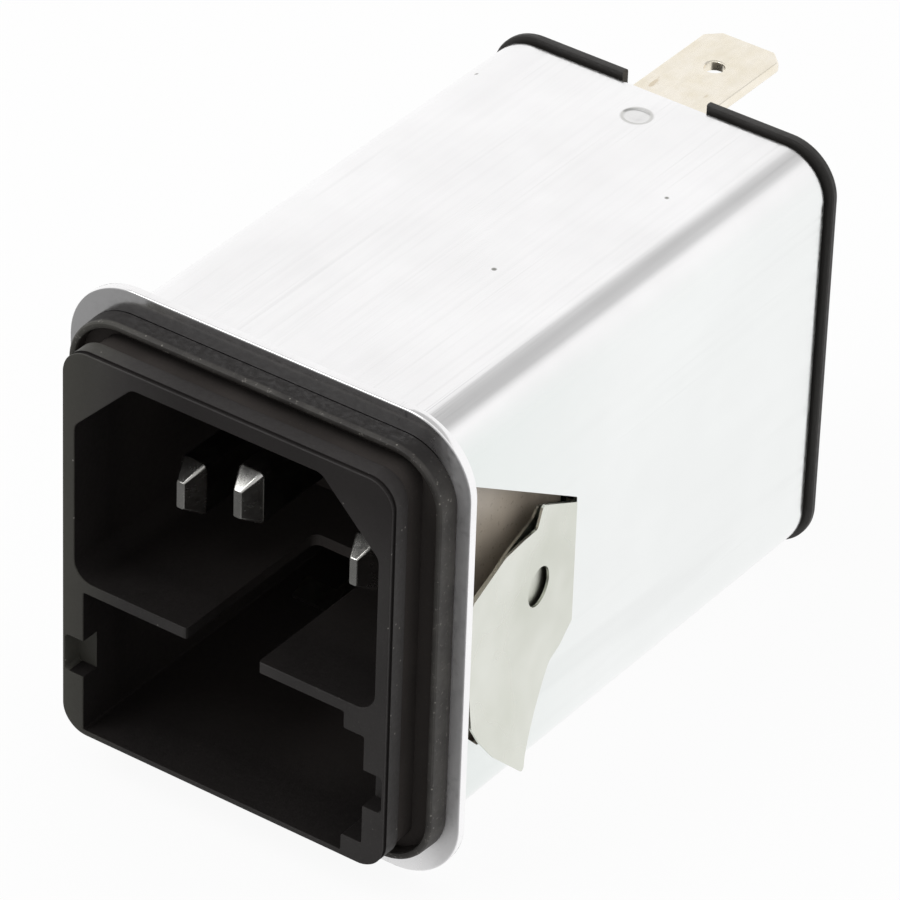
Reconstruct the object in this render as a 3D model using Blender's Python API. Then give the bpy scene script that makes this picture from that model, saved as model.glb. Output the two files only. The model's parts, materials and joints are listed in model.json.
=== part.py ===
"""Snap-in mains power entry module: a filtered appliance inlet above an empty fuse drawer bay.

Units are metres. Places are given from a datum on the front face, at the inlet's centre line:
x to the right seen from the front, y into the module, z up.
"""

import math

import bmesh
import bpy
from mathutils import Vector

# Fits and sheets
FIT = 0.0003
CAN_WALL = 0.00045
CORNER_STEPS = 8

# Front moulding
FACE_SIDE = 0.00097
FACE_TOP = 0.0012
FACE_FLOOR = 0.0004
FACE_RADIUS = 0.002
FACE_EDGE = 0.0001
SKIRT_LENGTH = 0.0018
NECK_INSET = 0.00045
BEZEL_SIDE = 0.00148
BEZEL_RISE = 0.00075
BEZEL_RADIUS = 0.0044
BEZEL_FRONT = 0.0033
BEZEL_THICKNESS = 0.00085
RIDGE_SIDE = 0.00138
RIDGE_RISE = 0.00108
RIDGE_HEIGHT = 0.0006
SOCKET_END_WALL = 0.0019
BODY_SIDE = 0.00082
BODY_TOP = 0.00118
BODY_FLOOR = 0.00072

# Appliance inlet
INLET_WIDTH = 0.0244
INLET_HEIGHT = 0.0167
INLET_CHAMFER = 0.00465
INLET_DEPTH = 0.0186
INLET_FILLET = 0.0015
INLET_EDGE = 0.001
PIN_THICKNESS = 0.002
PIN_HEIGHT = 0.004
PIN_TIP_THICKNESS = 0.00065
PIN_TIP_HEIGHT = 0.00215
PIN_TIP_LENGTH = 0.0015
PIN_SPACING = 0.014
PIN_DROP = 0.002
LIVE_PIN_TIP = 0.00457
EARTH_PIN_TIP = 0.0014
PIN_TAIL_LENGTH = 0.0035
PIN_TAIL_THICKNESS = 0.001
PIN_TAIL_HEIGHT = 0.0024

# Fuse drawer bay
PARTITION = 0.00085
PARTITION_GAP = 0.00584
PARTITION_GAP_DEPTH = 0.014
BAY_STEP = 0.00075
BAY_HEIGHT = 0.01115
BAY_DEPTH = 0.0285
BAY_END_WALL = 0.0015
KEY_WIDTH = 0.00165
KEY_HEIGHT = 0.0013
RECESS_REACH = 0.0015
RECESS_HEIGHT = 0.0029
RECESS_DEPTH = 0.0015
RECESS_DROP = 0.0054

# Metal can
FLANGE_SIDE = 0.00228
FLANGE_RISE = 0.00195
FLANGE_RADIUS = 0.0052
FLANGE_THICKNESS = 0.00075
FLANGE_EDGE = 0.00012
CAN_RADIUS = 0.0035
WELD_OFFSET = 0.00043
WELD_SETBACK = 0.0035
WELD_WIDTH = 0.0016
WELD_DIP = 0.00012

# Rear cover
COVER_GAP = 0.0043
COVER_THICKNESS = 0.00065
COVER_OVERHANG = 0.00048
COVER_ROUNDING = 0.0003
SPIGOT_LENGTH = 0.0023
SPIGOT_WALL = 0.0012

# Rear blades
BLADE_WIDTH = 0.0063
BLADE_THICKNESS = 0.0008
BLADE_CHAMFER = 0.001
BLADE_HOLE = 0.0015
BLADE_HOLE_SETBACK = 0.00424
EARTH_BLADE_REACH = 0.00975
EARTH_BLADE_LAP = 0.0073
EARTH_BLADE_OFFSET = 0.0003
LIVE_BLADE_REACH = 0.00815
LIVE_BLADE_GAP = 0.0005
LIVE_BLADE_SPACING = 0.012
LIVE_BLADE_DROP = 0.0035

# Side windows
WINDOW_REAR = 0.02
WINDOW_FRONT_LAND = 0.00015
WINDOW_TOP = -0.0016
WINDOW_BOTTOM = -0.0115
WINDOW_LOW = -0.0153
WINDOW_RISE_ANGLE = math.radians(31.2)

# Snap ears
EAR_LAYER = 0.0002
EAR_TILT = math.radians(7)
EAR_STANDOFF = 0.00013
EAR_CURL_RADIUS = 0.056
EAR_CURL_ANGLE = math.radians(35)
EAR_CURL_HEIGHT = -0.009
EAR_HOLE = 0.0028
EAR_HOLE_DEPTH = 0.0148
EAR_HOLE_HEIGHT = -0.00555
EAR_TONGUE = 0.002
EAR_TONGUE_SETBACK = 0.0002
EAR_JOG = 0.0005
EAR_SIDE_CLEARANCE = 0.00035
EAR_FRONT_CLEARANCE = 0.0005
EAR_PEAK_SETBACK = 0.0006
EAR_SHOULDER_DEPTH = 0.0142
EAR_SHOULDER_RISE = 0.00135
EAR_BROW_LENGTH = 0.0046
EAR_BROW_RISE = 0.0015
EAR_FRONT_RISE = 0.0005
EAR_FRONT_DROP = 0.0008
EAR_TIP_SETBACK = 0.005
EAR_TIP_DROP = 0.0063
EAR_BEND_SETBACK = 0.0034
EAR_BEND_DROP = 0.0013
EAR_SMALL_RADIUS = 0.0005
EAR_BROW_RADIUS = 0.0008
EAR_BEND_RADIUS = 0.0015
EAR_STRIP = 0.0016
EAR_SWING = math.radians(8.5)

# Fuse clips
CLIP_THICKNESS = 0.0004
CLIP_WIDTH = 0.0032
CLIP_SPACING = 0.0112
CLIP_LIFT = 0.0004
FRONT_CLIP_REACH = 0.008
FRONT_CLIP_LIFT = 0.003
REAR_CLIP_REACH = 0.0035
REAR_CLIP_HEIGHT = 0.0075
CLIP_TAIL_STEP = 0.0016

# Earth strap
STRAP_THICKNESS = 0.0004
STRAP_WIDTH = 0.005
STRAP_REACH = 0.009

# Filter board and what stands on it
BOARD_THICKNESS = 0.0012
BOARD_WIDTH = 0.0246
BOARD_LENGTH = 0.0217
BOARD_SETBACK = 0.0023
BOARD_LAP = 0.0072
CHOKE_SETBACK = 0.0124
CORE_OUTER = 0.008
CORE_INNER = 0.0042
CORE_HEIGHT = 0.0065
CORE_ROUNDING = 0.0015
WIRE_RADIUS = 0.00035
WINDING_TURNS = 8
WINDING_SWEEP = math.radians(144)
X_CAPACITOR_WIDTH = 0.0175
X_CAPACITOR_DEPTH = 0.008
X_CAPACITOR_HEIGHT = 0.0115
X_LEAD_SPACING = 0.015
Y_CAPACITOR_DIAMETER = 0.0065
Y_CAPACITOR_THICKNESS = 0.0024
Y_CAPACITOR_OFFSET = 0.0106
Y_CAPACITOR_SETBACK = 0.0057
Y_LEAD_SPACING = 0.005
RESISTOR_DIAMETER = 0.0024
RESISTOR_LENGTH = 0.0063
RESISTOR_SETBACK = 0.0018
RESISTOR_LEAD_SPACING = 0.01
LEAD_RADIUS = 0.0003
LEAD_STUB = 0.0008
WIRE_LEAD_RADIUS = 0.0006

# Worked out from the sizes above
BAY_WIDTH = INLET_WIDTH - 2 * BAY_STEP
BAY_TOP = -INLET_HEIGHT / 2 - PARTITION
BAY_BOTTOM = BAY_TOP - BAY_HEIGHT
FACE_WIDTH = INLET_WIDTH + 2 * FACE_SIDE
FACE_HEIGHT = INLET_HEIGHT / 2 + FACE_TOP + FACE_FLOOR - BAY_BOTTOM
FACE_CENTRE = INLET_HEIGHT / 2 + FACE_TOP - FACE_HEIGHT / 2
BODY_WIDTH = INLET_WIDTH + 2 * BODY_SIDE
BODY_HEIGHT = INLET_HEIGHT / 2 + BODY_TOP + BODY_FLOOR - BAY_BOTTOM
CAN_CENTRE = INLET_HEIGHT / 2 + BODY_TOP - BODY_HEIGHT / 2
CAN_INNER_WIDTH = BODY_WIDTH + 2 * FIT
CAN_INNER_HEIGHT = BODY_HEIGHT + 2 * FIT
CAN_INNER_RADIUS = CAN_RADIUS - CAN_WALL
CAN_WIDTH = CAN_INNER_WIDTH + 2 * CAN_WALL
CAN_HEIGHT = CAN_INNER_HEIGHT + 2 * CAN_WALL
CAN_TOP = CAN_CENTRE + CAN_HEIGHT / 2
BODY_RADIUS = CAN_INNER_RADIUS - FIT
BEZEL_WIDTH = CAN_WIDTH + 2 * BEZEL_SIDE
BEZEL_HEIGHT = CAN_HEIGHT + 2 * BEZEL_RISE
FLANGE_WIDTH = CAN_WIDTH + 2 * FLANGE_SIDE
FLANGE_HEIGHT = CAN_HEIGHT + 2 * FLANGE_RISE
BEZEL_REAR = BEZEL_FRONT + BEZEL_THICKNESS
FLANGE_FRONT = BEZEL_REAR + FIT
FLANGE_REAR = FLANGE_FRONT + FLANGE_THICKNESS
SOCKET_END = INLET_DEPTH + SOCKET_END_WALL
BAY_END = BAY_DEPTH + BAY_END_WALL
BOARD_START = max(SOCKET_END + BOARD_SETBACK, BAY_END - BOARD_LAP)
BOARD_END = BOARD_START + BOARD_LENGTH
RESISTOR_PLACE = BOARD_START + RESISTOR_SETBACK
Y_CAPACITOR_PLACE = BOARD_START + Y_CAPACITOR_SETBACK
CHOKE_DEPTH = BOARD_START + CHOKE_SETBACK
X_CAPACITOR_PLACE = BOARD_END - X_CAPACITOR_DEPTH / 2
COVER_FRONT = BOARD_END + COVER_GAP
COVER_REAR = COVER_FRONT + COVER_THICKNESS
CAN_END = COVER_FRONT - FIT
EARTH_BLADE_START = COVER_FRONT - EARTH_BLADE_LAP
EARTH_BLADE_END = COVER_REAR + EARTH_BLADE_REACH
LIVE_BLADE_START = BOARD_END + LIVE_BLADE_GAP
LIVE_BLADE_END = COVER_REAR + LIVE_BLADE_REACH
BAY_ROOF = BAY_TOP + PARTITION + 2 * FIT
CAN_CEILING = CAN_CENTRE + CAN_INNER_HEIGHT / 2
BLADE_TOP = CAN_CEILING - FIT
BOARD_BOTTOM = BAY_ROOF + FIT
BOARD_TOP = BOARD_BOTTOM + BOARD_THICKNESS
EAR_THICKNESS = 2 * EAR_LAYER
TONGUE_FACE = CAN_INNER_WIDTH / 2 - FIT
LEAF_FACE = CAN_WIDTH / 2 + EAR_STANDOFF
HINGE_X = TONGUE_FACE - EAR_THICKNESS / 2
HINGE_Y = WINDOW_REAR + EAR_TONGUE - EAR_TONGUE_SETBACK
WINDOW_FRONT = FLANGE_REAR + WINDOW_FRONT_LAND
OVERALL_DEPTH = EARTH_BLADE_END
THROUGH = 0.001


def clear_scene():
    for thing in list(bpy.data.objects):
        bpy.data.objects.remove(thing, do_unlink=True)


def make_look(name, colour, roughness, metallic=0.0):
    look = bpy.data.materials.new(name)
    look.use_nodes = True
    shader = look.node_tree.nodes["Principled BSDF"]
    shader.inputs["Base Color"].default_value = (*colour, 1)
    shader.inputs["Roughness"].default_value = roughness
    shader.inputs["Metallic"].default_value = metallic
    return look


def soften(corners, steps=CORNER_STEPS):
    """Outline through corners (a, b, radius), each rounded by its own radius."""
    outline = []
    for index, (a, b, radius) in enumerate(corners):
        corner = Vector((a, b))
        if not radius:
            outline.append(corner)
            continue
        before = (Vector(corners[index - 1][:2]) - corner).normalized()
        after = (Vector(corners[(index + 1) % len(corners)][:2]) - corner).normalized()
        half = before.angle(after) / 2
        centre = corner + (before + after).normalized() * radius / math.sin(half)
        first = corner + before * radius / math.tan(half) - centre
        last = corner + after * radius / math.tan(half) - centre
        start = math.atan2(first.y, first.x)
        turn = math.remainder(math.atan2(last.y, last.x) - start, math.tau)
        for step in range(steps + 1):
            angle = start + turn * step / steps
            outline.append(centre + radius * Vector((math.cos(angle), math.sin(angle))))
    return outline


def rounded_rectangle(width, height, radius, centre=(0, 0), steps=CORNER_STEPS):
    right, top = width / 2, height / 2
    corners = [(right, -top), (right, top), (-right, top), (-right, -top)]
    return soften([(a + centre[0], b + centre[1], radius) for a, b in corners], steps)


def circle(radius, centre=(0, 0), steps=24):
    angles = [math.tau * step / steps for step in range(steps)]
    return [Vector((centre[0] + radius * math.cos(a), centre[1] + radius * math.sin(a)))
            for a in angles]


def ribbon(path, thickness):
    """Outline of a bent strip whose middle follows the path."""
    path = [Vector(point) for point in path]
    sides = ([], [])
    for index, point in enumerate(path):
        before = (point - path[index - 1]).normalized() if index else None
        after = (path[index + 1] - point).normalized() if index + 1 < len(path) else None
        along = ((before or after) + (after or before)).normalized()
        across = Vector((-along.y, along.x))
        reach = thickness / 2 / across.dot(Vector((-(after or before).y, (after or before).x)))
        sides[0].append(point + across * reach)
        sides[1].append(point - across * reach)
    return sides[0] + sides[1][::-1]


def on_axis(point, along, axis):
    """Space point of an outline point: the outline lies across the axis, at a distance along it."""
    a, b = point
    return {"X": (along, a, b), "Y": (a, along, b), "Z": (a, b, along)}[axis]


def new_object(name, mesh, look, place=(0, 0, 0)):
    bmesh.ops.recalc_face_normals(mesh, faces=mesh.faces)
    data = bpy.data.meshes.new(name)
    mesh.to_mesh(data)
    mesh.free()
    data.shade_smooth()
    data.set_sharp_from_angle(angle=math.radians(35))
    made = bpy.data.objects.new(name, data)
    made.location = place
    made.parent = bpy.data.objects["datum"]
    bpy.context.collection.objects.link(made)
    data.materials.append(look)
    return made


def loft(name, sections, look, axis="Y", closed=False):
    """Skin over sections (outline, distance). A closed loft joins its last section to its first."""
    mesh = bmesh.new()
    rings = [[mesh.verts.new(on_axis(point, along, axis)) for point in outline]
             for outline, along in sections]
    joins = list(zip(rings, rings[1:]))
    if closed:
        joins.append((rings[-1], rings[0]))
    else:
        mesh.faces.new(rings[0])
        mesh.faces.new(rings[-1])
    for near, far in joins:
        for index in range(len(near)):
            mesh.faces.new((near[index - 1], near[index], far[index], far[index - 1]))
    return new_object(name, mesh, look)


def prism(name, outline, start, end, look, axis="Y"):
    return loft(name, [(outline, start), (outline, end)], look, axis)


def combine(target, other, operation):
    modifier = target.modifiers.new(other.name, "BOOLEAN")
    modifier.operation = operation
    modifier.object = other
    other.hide_render = True
    other.display_type = "WIRE"
    return target


def cut(target, cutter):
    return combine(target, cutter, "DIFFERENCE")


def join(target, other):
    return combine(target, other, "UNION")


def block(name, low, high, look):
    outline = [(low[0], low[2]), (high[0], low[2]), (high[0], high[2]), (low[0], high[2])]
    return prism(name, outline, low[1], high[1], look)


def inlet_outline():
    """The keyed opening of an appliance inlet: chamfered upper corners, rounded lower ones."""
    side, top = INLET_WIDTH / 2, INLET_HEIGHT / 2
    shoulder = side - INLET_CHAMFER
    return soften([
        (side, -top, INLET_FILLET),
        (side, top - INLET_CHAMFER, INLET_EDGE),
        (shoulder, top, INLET_EDGE),
        (-shoulder, top, INLET_EDGE),
        (-side, top - INLET_CHAMFER, INLET_EDGE),
        (-side, -top, INLET_FILLET),
    ], 4)


def bay_outline():
    """The drawer bay, with two keys in its right-hand corners that code the drawer."""
    side = BAY_WIDTH / 2
    key_side = side - KEY_WIDTH
    return [
        (-side, BAY_TOP),
        (-side, BAY_BOTTOM),
        (key_side, BAY_BOTTOM),
        (key_side, BAY_BOTTOM + KEY_HEIGHT),
        (side, BAY_BOTTOM + KEY_HEIGHT),
        (side, BAY_TOP - KEY_HEIGHT),
        (key_side, BAY_TOP - KEY_HEIGHT),
        (key_side, BAY_TOP),
    ]


def ear_pocket(side, plastic):
    """Room behind a snap ear: shallow beside the leaf, deeper beside its tongue."""
    outer = side * BODY_WIDTH
    shallow = side * (BODY_WIDTH / 2 - FIT)
    deep = side * (TONGUE_FACE - EAR_THICKNESS - EAR_TONGUE * math.sin(EAR_SWING) - FIT)
    outline = [
        (shallow, FLANGE_REAR - FIT),
        (outer, FLANGE_REAR - FIT),
        (outer, BAY_END + THROUGH),
        (deep, BAY_END + THROUGH),
        (deep, WINDOW_REAR - EAR_JOG / 2 - FIT),
        (shallow, WINDOW_REAR - EAR_JOG / 2 - FIT),
    ]
    low = CAN_CENTRE - CAN_HEIGHT / 2 + CAN_RADIUS - FIT
    return prism(f"ear_pocket_{side}", outline, low, WINDOW_TOP + EAR_JOG + 2 * FIT, plastic, "Z")


def bezel_ring(share):
    """Outline across the bezel's ridge: 0 at its outer edge, 1 at the groove inside it."""
    side, rise = share * RIDGE_SIDE, share * RIDGE_RISE
    return rounded_rectangle(BEZEL_WIDTH - 2 * side, BEZEL_HEIGHT - 2 * rise,
                             BEZEL_RADIUS - side, (0, CAN_CENTRE))


def front_housing():
    plastic = make_look("black_plastic", (0.02, 0.02, 0.021), 0.42)
    face_edge = rounded_rectangle(
        FACE_WIDTH - 2 * FACE_EDGE, FACE_HEIGHT - 2 * FACE_EDGE, FACE_RADIUS, (0, FACE_CENTRE))
    face_full = rounded_rectangle(FACE_WIDTH, FACE_HEIGHT, FACE_RADIUS, (0, FACE_CENTRE))
    neck = rounded_rectangle(FACE_WIDTH - 2 * NECK_INSET, FACE_HEIGHT - NECK_INSET,
                             FACE_RADIUS - NECK_INSET, (0, FACE_CENTRE - NECK_INSET / 2))
    body = rounded_rectangle(BODY_WIDTH, BODY_HEIGHT, BODY_RADIUS, (0, CAN_CENTRE))
    floor = BEZEL_FRONT + RIDGE_HEIGHT
    housing = loft("front_housing", [
        (face_edge, 0),
        (face_full, FACE_EDGE),
        (face_full, SKIRT_LENGTH),
        (neck, SKIRT_LENGTH),
        (neck, floor),
        (bezel_ring(1), floor),
        (bezel_ring(1), BEZEL_FRONT + RIDGE_HEIGHT / 4),
        (bezel_ring(0.9), BEZEL_FRONT),
        (bezel_ring(0.6), BEZEL_FRONT),
        (bezel_ring(0.2), BEZEL_FRONT + RIDGE_HEIGHT / 2),
        (bezel_ring(0), floor),
        (bezel_ring(0), BEZEL_REAR),
        (body, BEZEL_REAR),
        (body, BAY_END),
    ], plastic)
    cut(housing, block("upper_rear_cutter", (-BODY_WIDTH, SOCKET_END, BAY_ROOF),
                       (BODY_WIDTH, BAY_END + THROUGH, BODY_HEIGHT), plastic))
    cut(housing, prism("inlet_cutter", inlet_outline(), -THROUGH, INLET_DEPTH, plastic))
    cut(housing, prism("bay_cutter", bay_outline(), -THROUGH, BAY_DEPTH, plastic))
    half_gap = PARTITION_GAP / 2
    cut(housing, block("partition_gap_cutter",
                       (-half_gap, -THROUGH, BAY_TOP - THROUGH),
                       (half_gap, PARTITION_GAP_DEPTH, BAY_TOP + PARTITION + THROUGH), plastic))
    reach = BAY_WIDTH / 2 + RECESS_REACH
    recess_middle = BAY_TOP - RECESS_DROP
    cut(housing, block("recess_cutter",
                       (-reach, -THROUGH, recess_middle - RECESS_HEIGHT / 2),
                       (reach, RECESS_DEPTH, recess_middle + RECESS_HEIGHT / 2), plastic))
    for side in (-1, 1):
        cut(housing, ear_pocket(side, plastic))
    for name, (x, z) in pin_places().items():
        half_slot = PIN_THICKNESS / 2 + FIT
        half_height = PIN_HEIGHT / 2 + FIT
        cut(housing, block(f"{name}_slot",
                           (x - half_slot, INLET_DEPTH - THROUGH, z - half_height),
                           (x + half_slot, SOCKET_END + THROUGH, z + half_height), plastic))
    for side in (-1, 1):
        for height in (front_clip_height(), rear_clip_height()):
            x = side * CLIP_SPACING / 2
            half_width = CLIP_WIDTH / 2 + FIT
            half_slot = CLIP_THICKNESS / 2 + FIT
            cut(housing, block(f"clip_slot_{side}_{height:.4f}",
                               (x - half_width, BAY_DEPTH - THROUGH, height - half_slot),
                               (x + half_width, BAY_END + THROUGH, height + half_slot), plastic))


def pin_places():
    return {
        "line_pin": (-PIN_SPACING / 2, -PIN_DROP),
        "neutral_pin": (PIN_SPACING / 2, -PIN_DROP),
        "earth_pin": (0, PIN_DROP),
    }


def pins():
    plating = make_look("nickel_plate", (0.72, 0.7, 0.66), 0.25, 1)
    for name, place in pin_places().items():
        tip = EARTH_PIN_TIP if name == "earth_pin" else LIVE_PIN_TIP
        point = rounded_rectangle(PIN_TIP_THICKNESS, PIN_TIP_HEIGHT, FIT / 2, place, 2)
        shank = rounded_rectangle(PIN_THICKNESS, PIN_HEIGHT, FIT, place, 2)
        tail = rounded_rectangle(PIN_TAIL_THICKNESS, PIN_TAIL_HEIGHT, FIT / 2, place, 2)
        loft(name, [
            (point, tip),
            (shank, tip + PIN_TIP_LENGTH),
            (shank, SOCKET_END),
            (tail, SOCKET_END),
            (tail, SOCKET_END + PIN_TAIL_LENGTH),
        ], plating)


def window_outline():
    """A side window (y, z): its upper edge climbs forward, its lower edge clears the ear."""
    climb = (WINDOW_REAR - WINDOW_FRONT) * math.tan(WINDOW_RISE_ANGLE)
    tip, bend = (Vector(ear_corners()[name]) for name in ("low_tip", "low_bend"))
    crossing = tip.lerp(bend, (WINDOW_LOW - tip.y) / (bend.y - tip.y))
    return [
        (WINDOW_REAR, WINDOW_TOP),
        (WINDOW_FRONT, WINDOW_TOP + climb),
        (WINDOW_FRONT, WINDOW_LOW),
        (crossing.x + 2 * FIT, WINDOW_LOW),
        (bend.x + FIT, bend.y - FIT),
        (WINDOW_REAR, WINDOW_BOTTOM),
    ]


def shield_can():
    """Flange and tube drawn from one sheet: one wall section carried round a rounded rectangle."""
    tin = make_look("tinned_steel", (0.82, 0.83, 0.82), 0.3, 1)
    middle = (0, CAN_CENTRE)

    def ring(width, height, radius):
        return rounded_rectangle(width, height, radius, middle)

    bend = CAN_WALL
    outer = (CAN_WIDTH, CAN_HEIGHT, CAN_RADIUS)
    inner = (CAN_INNER_WIDTH, CAN_INNER_HEIGHT, CAN_INNER_RADIUS)
    flange = (FLANGE_WIDTH, FLANGE_HEIGHT, FLANGE_RADIUS)
    lip = FLANGE_EDGE

    def grown(size, by):
        return ring(size[0] + 2 * by, size[1] + 2 * by, size[2] + by)

    can = loft("shield_can", [
        (ring(*outer), CAN_END),
        (ring(*outer), FLANGE_REAR),
        (ring(*flange), FLANGE_REAR),
        (ring(*flange), FLANGE_FRONT + lip),
        (grown(flange, -lip), FLANGE_FRONT),
        (grown(inner, bend), FLANGE_FRONT),
        (grown(inner, bend / 3), FLANGE_FRONT + bend / 3),
        (ring(*inner), FLANGE_FRONT + bend),
        (ring(*inner), CAN_END),
    ], tin, closed=True)
    cut(can, prism("window_cutter", window_outline(), -CAN_WIDTH, CAN_WIDTH, tin, "X"))
    spot = (WELD_OFFSET, COVER_FRONT - WELD_SETBACK)
    cut(can, loft("weld_mark_cutter", [
        (circle(WELD_WIDTH / 2 - WELD_DIP, spot), CAN_TOP - WELD_DIP),
        (circle(WELD_WIDTH / 2 + WELD_DIP, spot), CAN_TOP + WELD_DIP),
    ], tin, "Z"))


def rear_cover():
    plastic = make_look("cover_plastic", (0.025, 0.025, 0.026), 0.4)
    middle = (0, CAN_CENTRE)

    def ring(grow, radius):
        return rounded_rectangle(CAN_WIDTH + 2 * grow, CAN_HEIGHT + 2 * grow, radius, middle)

    plug = -CAN_WALL - FIT
    hollow = plug - SPIGOT_WALL
    rim_radius = CAN_RADIUS + COVER_OVERHANG
    cover = loft("rear_cover", [
        (ring(hollow, CAN_RADIUS + hollow), COVER_FRONT),
        (ring(hollow, CAN_RADIUS + hollow), COVER_FRONT - SPIGOT_LENGTH),
        (ring(plug, CAN_RADIUS + plug), COVER_FRONT - SPIGOT_LENGTH),
        (ring(plug, CAN_RADIUS + plug), COVER_FRONT),
        (ring(COVER_OVERHANG, rim_radius), COVER_FRONT),
        (ring(COVER_OVERHANG, rim_radius), COVER_REAR - COVER_ROUNDING),
        (ring(COVER_OVERHANG - COVER_ROUNDING, rim_radius), COVER_REAR),
    ], plastic)
    notch_bottom = BLADE_TOP - BLADE_THICKNESS - FIT
    notch_top = CAN_CEILING + CAN_RADIUS
    half = BLADE_WIDTH / 2 + FIT
    notch = soften([
        (EARTH_BLADE_OFFSET - half, notch_bottom, FIT),
        (EARTH_BLADE_OFFSET + half, notch_bottom, FIT),
        (EARTH_BLADE_OFFSET + half, notch_top, 0),
        (EARTH_BLADE_OFFSET - half, notch_top, 0),
    ], 3)
    rear = COVER_REAR + THROUGH
    front = COVER_FRONT - SPIGOT_LENGTH - THROUGH
    cut(cover, prism("notch_cutter", notch, front, rear, plastic))
    for side in (-1, 1):
        slot = rounded_rectangle(
            BLADE_THICKNESS + 2 * FIT, BLADE_WIDTH + 2 * FIT, FIT,
            (side * LIVE_BLADE_SPACING / 2, -LIVE_BLADE_DROP), 2)
        cut(cover, prism(f"blade_slot_{side}", slot, front, rear, plastic))


def blade(name, start, end, place, upright, look):
    """A quick-connect blade with a chamfered end and a locating hole."""
    half = BLADE_WIDTH / 2
    across, level = place
    outline = soften([
        (across - half, start, 0),
        (across + half, start, 0),
        (across + half, end - BLADE_CHAMFER, FIT),
        (across + half - BLADE_CHAMFER, end, FIT),
        (across - half + BLADE_CHAMFER, end, FIT),
        (across - half, end - BLADE_CHAMFER, FIT),
    ], 2)
    hole = circle(BLADE_HOLE / 2, (across, end - BLADE_HOLE_SETBACK))
    axis = "Z"
    if upright:
        outline = [(b, a) for a, b in outline]
        hole = [(b, a) for a, b in hole]
        axis = "X"
    made = prism(name, outline, level - BLADE_THICKNESS / 2, level + BLADE_THICKNESS / 2, look, axis)
    edge = made.modifiers.new("edge", "BEVEL")
    edge.width = BLADE_THICKNESS / 6
    edge.segments = 1
    cutter = prism(f"{name}_hole", hole, level - BLADE_THICKNESS, level + BLADE_THICKNESS, look, axis)
    cut(made, cutter)


def blades():
    brass = make_look("tinned_brass", (0.85, 0.82, 0.72), 0.3, 1)
    blade("earth_tab", EARTH_BLADE_START, EARTH_BLADE_END,
          (EARTH_BLADE_OFFSET, BLADE_TOP - BLADE_THICKNESS / 2), False, brass)
    for side, name in ((-1, "line_tab"), (1, "neutral_tab")):
        blade(name, LIVE_BLADE_START, LIVE_BLADE_END,
              (-LIVE_BLADE_DROP, side * LIVE_BLADE_SPACING / 2), True, brass)


def earth_strap():
    copper = make_look("tinned_copper", (0.75, 0.7, 0.62), 0.35, 1)
    leg = SOCKET_END + FIT + STRAP_THICKNESS / 2
    top = BLADE_TOP - STRAP_THICKNESS / 2
    low = PIN_DROP - PIN_HEIGHT / 2
    bend = STRAP_THICKNESS * 2
    path = [(leg, low), (leg, top - bend), (leg + bend, top), (leg + STRAP_REACH, top)]
    half = STRAP_WIDTH / 2
    strap = prism("earth_strap", ribbon(path, STRAP_THICKNESS), -half, half, copper, "X")
    hole = rounded_rectangle(
        PIN_TAIL_THICKNESS + 2 * FIT, PIN_TAIL_HEIGHT + 2 * FIT, FIT, (0, PIN_DROP), 2)
    cut(strap, prism("strap_hole", hole, SOCKET_END, leg + THROUGH, copper))


def front_clip_height():
    return BAY_BOTTOM + CLIP_LIFT + CLIP_THICKNESS / 2


def rear_clip_height():
    return BAY_BOTTOM + REAR_CLIP_HEIGHT


def clip_tails():
    """Depths at which the clips' tails rise to the board, front clip first."""
    first = BAY_END + FIT + CLIP_THICKNESS / 2 + CLIP_TAIL_STEP
    return first, first - CLIP_TAIL_STEP


def fuse_clips():
    bronze = make_look("spring_bronze", (0.72, 0.62, 0.45), 0.35, 1)
    tail_top = BOARD_TOP - FIT
    far_tail, near_tail = clip_tails()
    floor = front_clip_height()
    shelf = rear_clip_height()
    hump = BAY_DEPTH - FRONT_CLIP_REACH
    front_path = [
        (far_tail, tail_top),
        (far_tail, floor),
        (hump + FRONT_CLIP_LIFT / 2, floor),
        (hump - FRONT_CLIP_LIFT / 2, floor + FRONT_CLIP_LIFT),
        (hump - FRONT_CLIP_LIFT, floor + FRONT_CLIP_LIFT * 0.8),
    ]
    tip = BAY_DEPTH - REAR_CLIP_REACH
    rear_path = [
        (near_tail, tail_top),
        (near_tail, shelf),
        (tip + REAR_CLIP_REACH / 3, shelf),
        (tip, shelf - REAR_CLIP_REACH / 2),
        (tip + REAR_CLIP_REACH / 4, shelf - REAR_CLIP_REACH),
    ]
    for side, hand in ((-1, "line"), (1, "neutral")):
        x = side * CLIP_SPACING / 2
        for end, path in (("front", front_path), ("rear", rear_path)):
            prism(f"fuse_clip_{hand}_{end}", ribbon(path, CLIP_THICKNESS),
                  x - CLIP_WIDTH / 2, x + CLIP_WIDTH / 2, bronze, "X")


def board_holes():
    """Places and radii of the round holes in the board."""
    x_lead = X_LEAD_SPACING / 2
    resistor = RESISTOR_LEAD_SPACING / 2
    y_lead = Y_LEAD_SPACING / 2
    holes = []
    for side in (-1, 1):
        holes.append((side * x_lead, X_CAPACITOR_PLACE + x_lead_shift()))
        holes.append((side * resistor, RESISTOR_PLACE))
        for step in (-1, 1):
            holes.append((side * Y_CAPACITOR_OFFSET, Y_CAPACITOR_PLACE + step * y_lead))
    return holes


def x_lead_shift():
    return X_CAPACITOR_DEPTH / 6


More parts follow.
